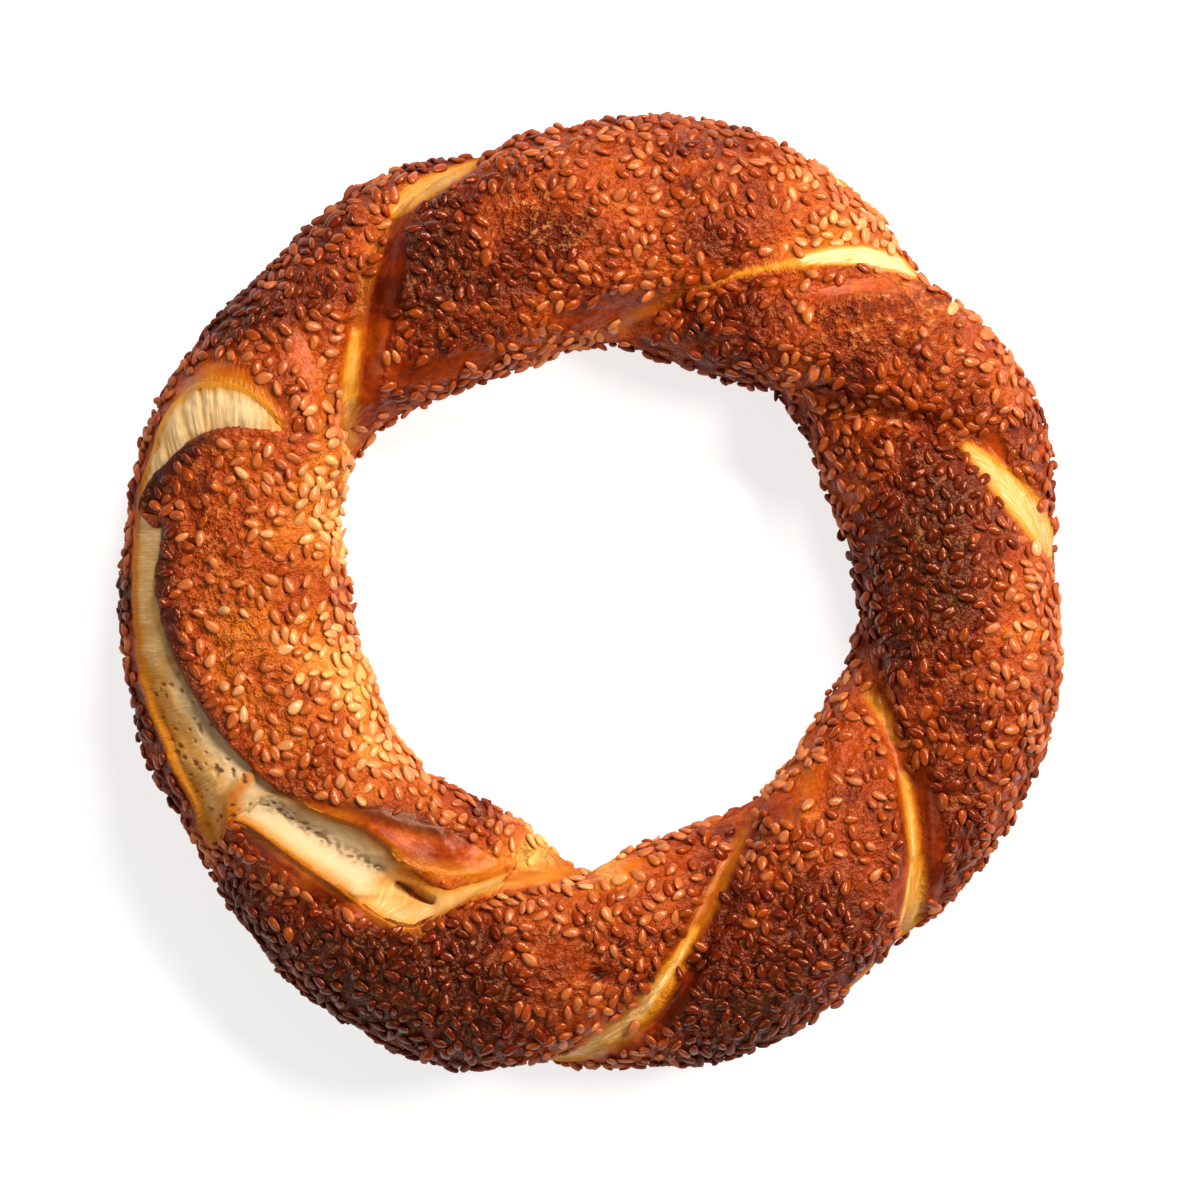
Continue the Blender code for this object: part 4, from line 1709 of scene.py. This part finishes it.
@dataclass(frozen=True)
class BakedColours:
    """The colours that dough takes in the oven, as a group used by the bread and by its seeds."""

    golden: Colour = (0.72, 0.35, 0.06)
    amber: Colour = (0.56, 0.125, 0.005)
    orange_brown: Colour = (0.34, 0.038, 0.001)
    brown: Colour = (0.125, 0.008, 0.0004)
    dark: Colour = (0.050, 0.005, 0.0005)
    mottles_per_metre: float = 900.0

    def group(self) -> Tree:
        """Builds the group: how toasted a place is goes in, and its mottled colour comes out.

        Returns:
            The node group.
        """
        name = "baked_colour"
        if name in bpy.data.node_groups:
            return bpy.data.node_groups[name]
        tree = bpy.data.node_groups.new(name, "ShaderNodeTree")
        for label, default in (("Toast", 0.5), ("Mottle", 0.1)):
            socket = tree.interface.new_socket(label, in_out="INPUT", socket_type="NodeSocketFloat")
            socket.default_value = default
        tree.interface.new_socket("Colour", in_out="OUTPUT", socket_type="NodeSocketColor")
        entry = tree.nodes.new("NodeGroupInput")
        leave = tree.nodes.new("NodeGroupOutput")
        fine = less(tree, noise(tree, self.mottles_per_metre, 4.0, 0.6), 0.5)
        spread = times(tree, fine, entry.outputs["Mottle"])
        toast = plus(tree, entry.outputs["Toast"], spread)
        stops = ((0.05, self.golden), (0.28, self.amber), (0.52, self.orange_brown), (0.76, self.brown),
                 (1.0, self.dark))
        link(tree, ramp(tree, toast, stops), leave.inputs["Colour"])
        return tree

    def use(self, tree: Tree, toast: Socket, mottle: float) -> Socket:
        """Places the group in a material.

        Args:
            tree: the material's tree.
            toast: the socket that says how toasted a place is.
            mottle: how much the colour varies from place to place.

        Returns:
            The colour socket.
        """
        node = tree.nodes.new("ShaderNodeGroup")
        node.node_tree = self.group()
        link(tree, toast, node.inputs["Toast"])
        node.inputs["Mottle"].default_value = mottle
        return node.outputs["Colour"]


@dataclass(frozen=True)
class Crackle:
    """The rough skin that lost seeds leave: blobs with pale flecks, partly scar rims and partly painted
    highlight, and painted shade in the gaps between, as a group.
    """

    blobs_per_metre: float = 500.0
    flecks_per_metre: float = 1100.0
    waves_per_metre: float = 700.0
    warp: float = 0.0010

    def group(self) -> Tree:
        """Builds the group, with a height, a mask of pale flecks that are partly painted highlight, and a
        mask of painted shade in the gaps.

        Returns:
            The node group.
        """
        name = "crackle"
        if name in bpy.data.node_groups:
            return bpy.data.node_groups[name]
        tree = bpy.data.node_groups.new(name, "ShaderNodeTree")
        for label in ("Height", "Fleck", "CreviceShade"):
            tree.interface.new_socket(label, in_out="OUTPUT", socket_type="NodeSocketFloat")
        leave = tree.nodes.new("NodeGroupOutput")
        place = tree.nodes.new("ShaderNodeTexCoord")
        wave = tree.nodes.new("ShaderNodeTexNoise")
        wave.inputs["Scale"].default_value = self.waves_per_metre
        link(tree, place.outputs["Object"], wave.inputs["Vector"])
        centred = tree.nodes.new("ShaderNodeVectorMath")
        centred.operation = "SUBTRACT"
        centred.inputs[1].default_value = (0.5, 0.5, 0.5)
        link(tree, wave.outputs["Color"], centred.inputs[0])
        bent = tree.nodes.new("ShaderNodeVectorMath")
        bent.operation = "MULTIPLY_ADD"
        bent.inputs[1].default_value = (self.warp, self.warp, self.warp)
        link(tree, centred.outputs[0], bent.inputs[0])
        link(tree, place.outputs["Object"], bent.inputs[2])
        body = tree.nodes.new("ShaderNodeTexNoise")
        body.inputs["Scale"].default_value = self.blobs_per_metre
        body.inputs["Detail"].default_value = 3.0
        body.inputs["Roughness"].default_value = 0.55
        link(tree, bent.outputs[0], body.inputs["Vector"])
        blob = ramp(tree, body.outputs[0], ((0.44, BLACK), (0.6, WHITE)))
        broken = ramp(tree, noise(tree, self.flecks_per_metre, 2.0, 0.5), ((0.46, BLACK), (0.58, WHITE)))
        # Pale flecks on the blobs: partly scar rims, partly painted highlight.
        fleck = times(tree, blob, broken)
        # The gaps between the blobs: a mask for painted shade, and a dip in the height.
        low = ramp(tree, body.outputs[0], ((0.34, WHITE), (0.44, BLACK)))
        raised = plus(tree, times(tree, fleck, 0.3), times(tree, blob, 0.8))
        link(tree, plus(tree, raised, times(tree, low, -0.5)), leave.inputs["Height"])
        link(tree, fleck, leave.inputs["Fleck"])
        link(tree, low, leave.inputs["CreviceShade"])
        return tree

    def use(self, tree: Tree) -> dict[str, Socket]:
        """Places the group in a material.

        Args:
            tree: the material's tree.

        Returns:
            The group's outputs by name.
        """
        node = tree.nodes.new("ShaderNodeGroup")
        node.node_tree = self.group()
        return {socket.name: socket for socket in node.outputs}


@dataclass(frozen=True)
class BreadFinish:
    """The bread's surface, by point attributes: baked crust, pale seams, torn crumb, burnt edges and
    painted shade.
    """

    colours: BakedColours = BakedColours()
    honey: Colour = (0.46, 0.115, 0.004)
    amber_dough: Colour = (0.60, 0.23, 0.012)
    straw: Colour = (0.68, 0.34, 0.085)
    cream: Colour = (0.80, 0.58, 0.26)
    crumb: Colour = (0.72, 0.51, 0.27)
    char: Colour = (0.050, 0.007, 0.002)
    # Pale flecks on rough skin: partly scar rims, partly painted highlight.
    scurf_glint: Colour = (0.60, 0.20, 0.055)
    # Painted shade in the gaps of rough skin.
    crevice_shade: Colour = (0.060, 0.006, 0.0005)
    sheen: Colour = (1.0, 0.55, 0.37)
    roughness: float = 0.33
    crumb_rougher: float = 0.35
    scar_rougher: float = 0.1
    side_rougher: float = 0.6
    gloss: float = 0.38
    mottle: float = 0.5
    fleck_cover: float = 0.75
    crevice_shade_cover: float = 0.7
    rough_everywhere: float = 0.35
    rough_scars: float = 0.65
    smoothest: float = 0.93
    grains_per_metre: float = 1300.0
    lumps_per_metre: float = 520.0
    fibres_across: float = 3.0
    fibres_along: float = 0.30
    bump_strength: float = 0.85
    bump_metres: float = 0.0009

    def build(self) -> bpy.types.Material:
        """Makes the material.

        Returns:
            The material.
        """
        material, tree, shader = new_material("bread")
        pale, crumb = attribute(tree, NAMES.pale), attribute(tree, NAMES.crumb)
        scar = attribute(tree, NAMES.scar)
        dough = math_node(tree, "MAXIMUM", pale, crumb)
        smooth = math_node(tree, "MAXIMUM", attribute(tree, NAMES.bare), dough)
        coarse = less(tree, 1.0, times(tree, smooth, self.smoothest))
        rough_skin = plus(tree, times(tree, scar, self.rough_scars), self.rough_everywhere)
        rough_skin = times(tree, rough_skin, coarse)
        crackle = Crackle().use(tree)
        fibre = self.fibres(tree)
        colour = self.crust_colour(tree, crackle, rough_skin)
        colour = self.dough_colour(tree, colour, fibre, pale, crumb)
        # Char on the burnt edges; on the burst's floor the same mix puts in painted shade.
        colour = mixed(tree, attribute(tree, NAMES.burnt), colour, self.char)
        link(tree, colour, shader.inputs["Base Color"])
        rough = plus(tree, times(tree, crumb, self.crumb_rougher), self.roughness)
        rough = plus(tree, rough, times(tree, scar, self.scar_rougher))
        dull = less(tree, 1.0, attribute(tree, NAMES.glaze))
        rough = plus(tree, rough, times(tree, dull, self.side_rougher))
        link(tree, rough, shader.inputs["Roughness"])
        shader.inputs["Specular IOR Level"].default_value = self.gloss
        shader.inputs["Specular Tint"].default_value = (*self.sheen, 1.0)
        grain = times(tree, noise(tree, self.grains_per_metre, 3.0, 0.6), times(tree, coarse, 0.4))
        knobs = times(tree, crackle["Height"], rough_skin)
        lumps = times(tree, noise(tree, self.lumps_per_metre, 2.0, 0.5), coarse)
        threads = times(tree, fibre, times(tree, pale, 0.35))
        bump = tree.nodes.new("ShaderNodeBump")
        bump.inputs["Strength"].default_value = self.bump_strength
        bump.inputs["Distance"].default_value = self.bump_metres
        height = plus(tree, plus(tree, grain, knobs), plus(tree, lumps, threads))
        link(tree, height, bump.inputs["Height"])
        link(tree, bump.outputs[0], shader.inputs["Normal"])
        return material

    def crust_colour(self, tree: Tree, crackle: dict[str, Socket], rough_skin: Socket) -> Socket:
        """The toasted colour, with pale flecks, partly painted highlight, and painted shade in the gaps
        where the skin is rough.

        Args:
            tree: the material's tree.
            crackle: the crackle's outputs.
            rough_skin: how rough the skin is.

        Returns:
            The colour socket.
        """
        colour = self.colours.use(tree, attribute(tree, NAMES.toast), self.mottle)
        # Pale flecks, partly scar rims and partly painted highlight.
        flecks_and_glints = times(tree, crackle["Fleck"], rough_skin)
        colour = mixed(tree, times(tree, flecks_and_glints, self.fleck_cover), colour, self.scurf_glint)
        # Painted shade in the gaps between the blobs.
        sunk = times(tree, crackle["CreviceShade"], rough_skin)
        return mixed(tree, times(tree, sunk, self.crevice_shade_cover), colour, self.crevice_shade)

    def dough_colour(self, tree: Tree, colour: Socket, fibre: Socket,
                     pale: Socket, crumb: Socket) -> Socket:
        """The crust's colour with pale dough and torn crumb over it, streaked along the dough's fibres.

        Args:
            tree: the material's tree.
            colour: the crust's colour.
            fibre: the fibres' noise.
            pale: how pale the dough is.
            crumb: how much crumb shows.

        Returns:
            The colour socket.
        """
        drawn = less(tree, 1.5, times(tree, crumb, 1.2))
        streaks = times(tree, less(tree, fibre, 0.5), drawn)
        rise = plus(tree, pale, times(tree, streaks, pale))
        stops = ((0.3, self.honey), (0.62, self.amber_dough), (0.84, self.straw), (1.0, self.cream))
        cover = ramp(tree, rise, ((0.04, BLACK), (0.42, WHITE)))
        colour = mixed(tree, cover, colour, ramp(tree, rise, stops))
        return mixed(tree, crumb, colour, self.crumb)

    def fibres(self, tree: Tree) -> Socket:
        """Noise drawn out along the seams, and from lip to flap in the burst, like fibres of dough.

        Args:
            tree: the material's tree.

        Returns:
            The socket of the noise's value, 0 to 1.
        """
        place = tree.nodes.new("ShaderNodeCombineXYZ")
        link(tree, times(tree, attribute(tree, NAMES.across), self.fibres_across), place.inputs["X"])
        link(tree, times(tree, attribute(tree, NAMES.along), self.fibres_along), place.inputs["Y"])
        drawn_out = tree.nodes.new("ShaderNodeTexNoise")
        drawn_out.inputs["Scale"].default_value = 1.0
        drawn_out.inputs["Detail"].default_value = 4.0
        drawn_out.inputs["Roughness"].default_value = 0.7
        link(tree, place.outputs[0], drawn_out.inputs["Vector"])
        return drawn_out.outputs[0]


@dataclass(frozen=True)
class SeedFinish:
    """A seed's surface: toasted hull, darker where the crust is darker, smooth and a little glossy."""

    kind: SeedKind
    tint: Colour
    roughness: float
    sheen: Colour
    gloss: float = 0.64
    colours: BakedColours = BakedColours()
    mottle: float = 0.25
    least_tint: float = 0.15
    tint_range: float = 0.4
    side_rougher: float = 0.5
    grains_per_metre: float = 2400.0
    bump_strength: float = 0.3
    bump_metres: float = 0.0002

    def build(self) -> bpy.types.Material:
        """Makes the material.

        Returns:
            The material.
        """
        material, tree, shader = new_material(f"sesame_{self.kind.value}")
        toast, shade = attribute(tree, NAMES.toast), attribute(tree, NAMES.shade)
        colour = self.colours.use(tree, toast, self.mottle)
        amount = plus(tree, times(tree, shade, self.tint_range), self.least_tint)
        colour = mixed(tree, amount, colour, self.tint)
        link(tree, colour, shader.inputs["Base Color"])
        dull = less(tree, 1.0, attribute(tree, NAMES.glaze))
        rough = plus(tree, times(tree, dull, self.side_rougher), self.roughness)
        link(tree, rough, shader.inputs["Roughness"])
        shader.inputs["Specular IOR Level"].default_value = self.gloss
        shader.inputs["Specular Tint"].default_value = (*self.sheen, 1.0)
        bump = tree.nodes.new("ShaderNodeBump")
        bump.inputs["Strength"].default_value = self.bump_strength
        bump.inputs["Distance"].default_value = self.bump_metres
        link(tree, noise(tree, self.grains_per_metre, 2.0, 0.5), bump.inputs["Height"])
        link(tree, bump.outputs[0], shader.inputs["Normal"])
        return material


SEED_FINISHES = (
    SeedFinish(SeedKind.PALE, (0.80, 0.43, 0.17), 0.26, (1.0, 0.80, 0.66)),
    SeedFinish(SeedKind.GOLDEN, (0.62, 0.20, 0.056), 0.24, (1.0, 0.72, 0.56)),
    SeedFinish(SeedKind.TOASTED, (0.39, 0.078, 0.010), 0.22, (1.0, 0.56, 0.36)),
    SeedFinish(SeedKind.DARK, (0.155, 0.018, 0.002), 0.23, (1.0, 0.48, 0.30)),
)


@dataclass(frozen=True)
class Light:
    """A soft square light: where it hangs, its side, its power and its colour."""

    name: str
    place: tuple[float, float, float]
    side: float
    watts: float
    colour: Colour = (1.0, 1.0, 1.0)


@dataclass
class Studio:
    """The pale floor, the soft lights and the camera straight above the ring."""

    photo_pixels: float = 1200.0
    sensor: float = 36.0
    distance: float = 2.5
    mid_height: float = 0.013
    farthest: float = 20.0
    floor_side: float = 6.0
    floor_colour: Colour = (0.45, 0.45, 0.45)
    floor_glow: float = 0.72
    floor_roughness: float = 0.9
    floor_gloss: float = 0.1
    sky: float = 0.10
    lights: tuple[Light, ...] = (
        Light("key_right", (0.56, 0.08, 0.58), 0.16, 4.55, (1.0, 0.96, 0.91)),
        Light("key_corner", (0.42, 0.42, 0.60), 0.14, 5.4, (1.0, 0.97, 0.92)),
        Light("key_top", (0.08, 0.56, 0.58), 0.16, 3.95, (1.0, 0.97, 0.93)),
        Light("fill", (-0.55, -0.40, 0.70), 0.50, 2.2, (1.0, 0.95, 0.88)),
    )

    def build(self) -> None:
        """Makes the floor, the lights and the camera."""
        half = self.floor_side / 2
        mesh = bpy.data.meshes.new("floor")
        corners = [(-half, -half, 0), (half, -half, 0), (half, half, 0), (-half, half, 0)]
        mesh.from_pydata(corners, [], [(0, 1, 2, 3)])
        floor = bpy.data.objects.new("floor", mesh)
        bpy.context.scene.collection.objects.link(floor)
        material, _, shader = new_material("floor")
        shader.inputs["Base Color"].default_value = (*self.floor_colour, 1.0)
        shader.inputs["Roughness"].default_value = self.floor_roughness
        shader.inputs["Emission Color"].default_value = (1.0, 1.0, 1.0, 1.0)
        shader.inputs["Emission Strength"].default_value = self.floor_glow
        shader.inputs["Specular IOR Level"].default_value = self.floor_gloss
        mesh.materials.append(material)
        world = bpy.data.worlds.new("studio")
        world.use_nodes = True
        world.node_tree.nodes["Background"].inputs["Color"].default_value = (1.0, 1.0, 1.0, 1.0)
        world.node_tree.nodes["Background"].inputs["Strength"].default_value = self.sky
        bpy.context.scene.world = world
        for light in self.lights:
            self.hang(light)
        self.aim()
        bpy.context.scene.view_settings.view_transform = "Standard"

    def hang(self, light: Light) -> None:
        """Hangs one light, turned towards the ring.

        Args:
            light: the light.
        """
        data = bpy.data.lights.new(light.name, "AREA")
        data.size = light.side
        data.energy = light.watts
        data.color = light.colour
        lamp = bpy.data.objects.new(light.name, data)
        bpy.context.scene.collection.objects.link(lamp)
        x, y, z = light.place
        lamp.location = light.place
        lamp.rotation_euler = (math.atan2(math.hypot(x, y), z), 0.0, math.atan2(y, x) + math.pi / 2)

    def aim(self) -> None:
        """Places the camera above the photograph's middle, with a long lens that takes in its frame."""
        middle = PHOTO.to_table(np.array([self.photo_pixels / 2, self.photo_pixels / 2])) * MM
        width = self.photo_pixels * PHOTO.mm_per_pixel * MM
        data = bpy.data.cameras.new("camera")
        data.sensor_width = self.sensor
        data.lens = self.sensor * (self.distance - self.mid_height) / width
        data.clip_end = self.farthest
        camera = bpy.data.objects.new("camera", data)
        camera.location = (middle[0], middle[1], self.distance)
        bpy.context.scene.collection.objects.link(camera)
        bpy.context.scene.camera = camera


def dress(piece: bpy.types.Object, material: bpy.types.Material) -> None:
    """Gives a piece its material, and says that it rides on the part and stands for the plain bread.

    Args:
        piece: the finished piece.
        material: its material.
    """
    piece.data.materials.append(material)
    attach(piece, "root")
    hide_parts(NODE)
    log.info("%s: %d faces", piece.name, len(piece.data.polygons))


def main() -> None:
    """Builds the bread, its burst and its seeds, then the studio round them."""
    logging.basicConfig(level=logging.INFO, format="%(message)s", stream=sys.stdout, force=True)
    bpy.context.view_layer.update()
    crust, bake = Crust(), Bake()
    bread = BreadFinish().build()
    dress(CrustPiece(crust, bake).build(), bread)
    dress(BurstPiece(crust, bake).build(), bread)
    for piece, finish in zip(SeedCoat(crust, bake).build(), SEED_FINISHES):
        dress(piece, finish.build())
    Studio().build()


if __name__ == "__main__":
    main()
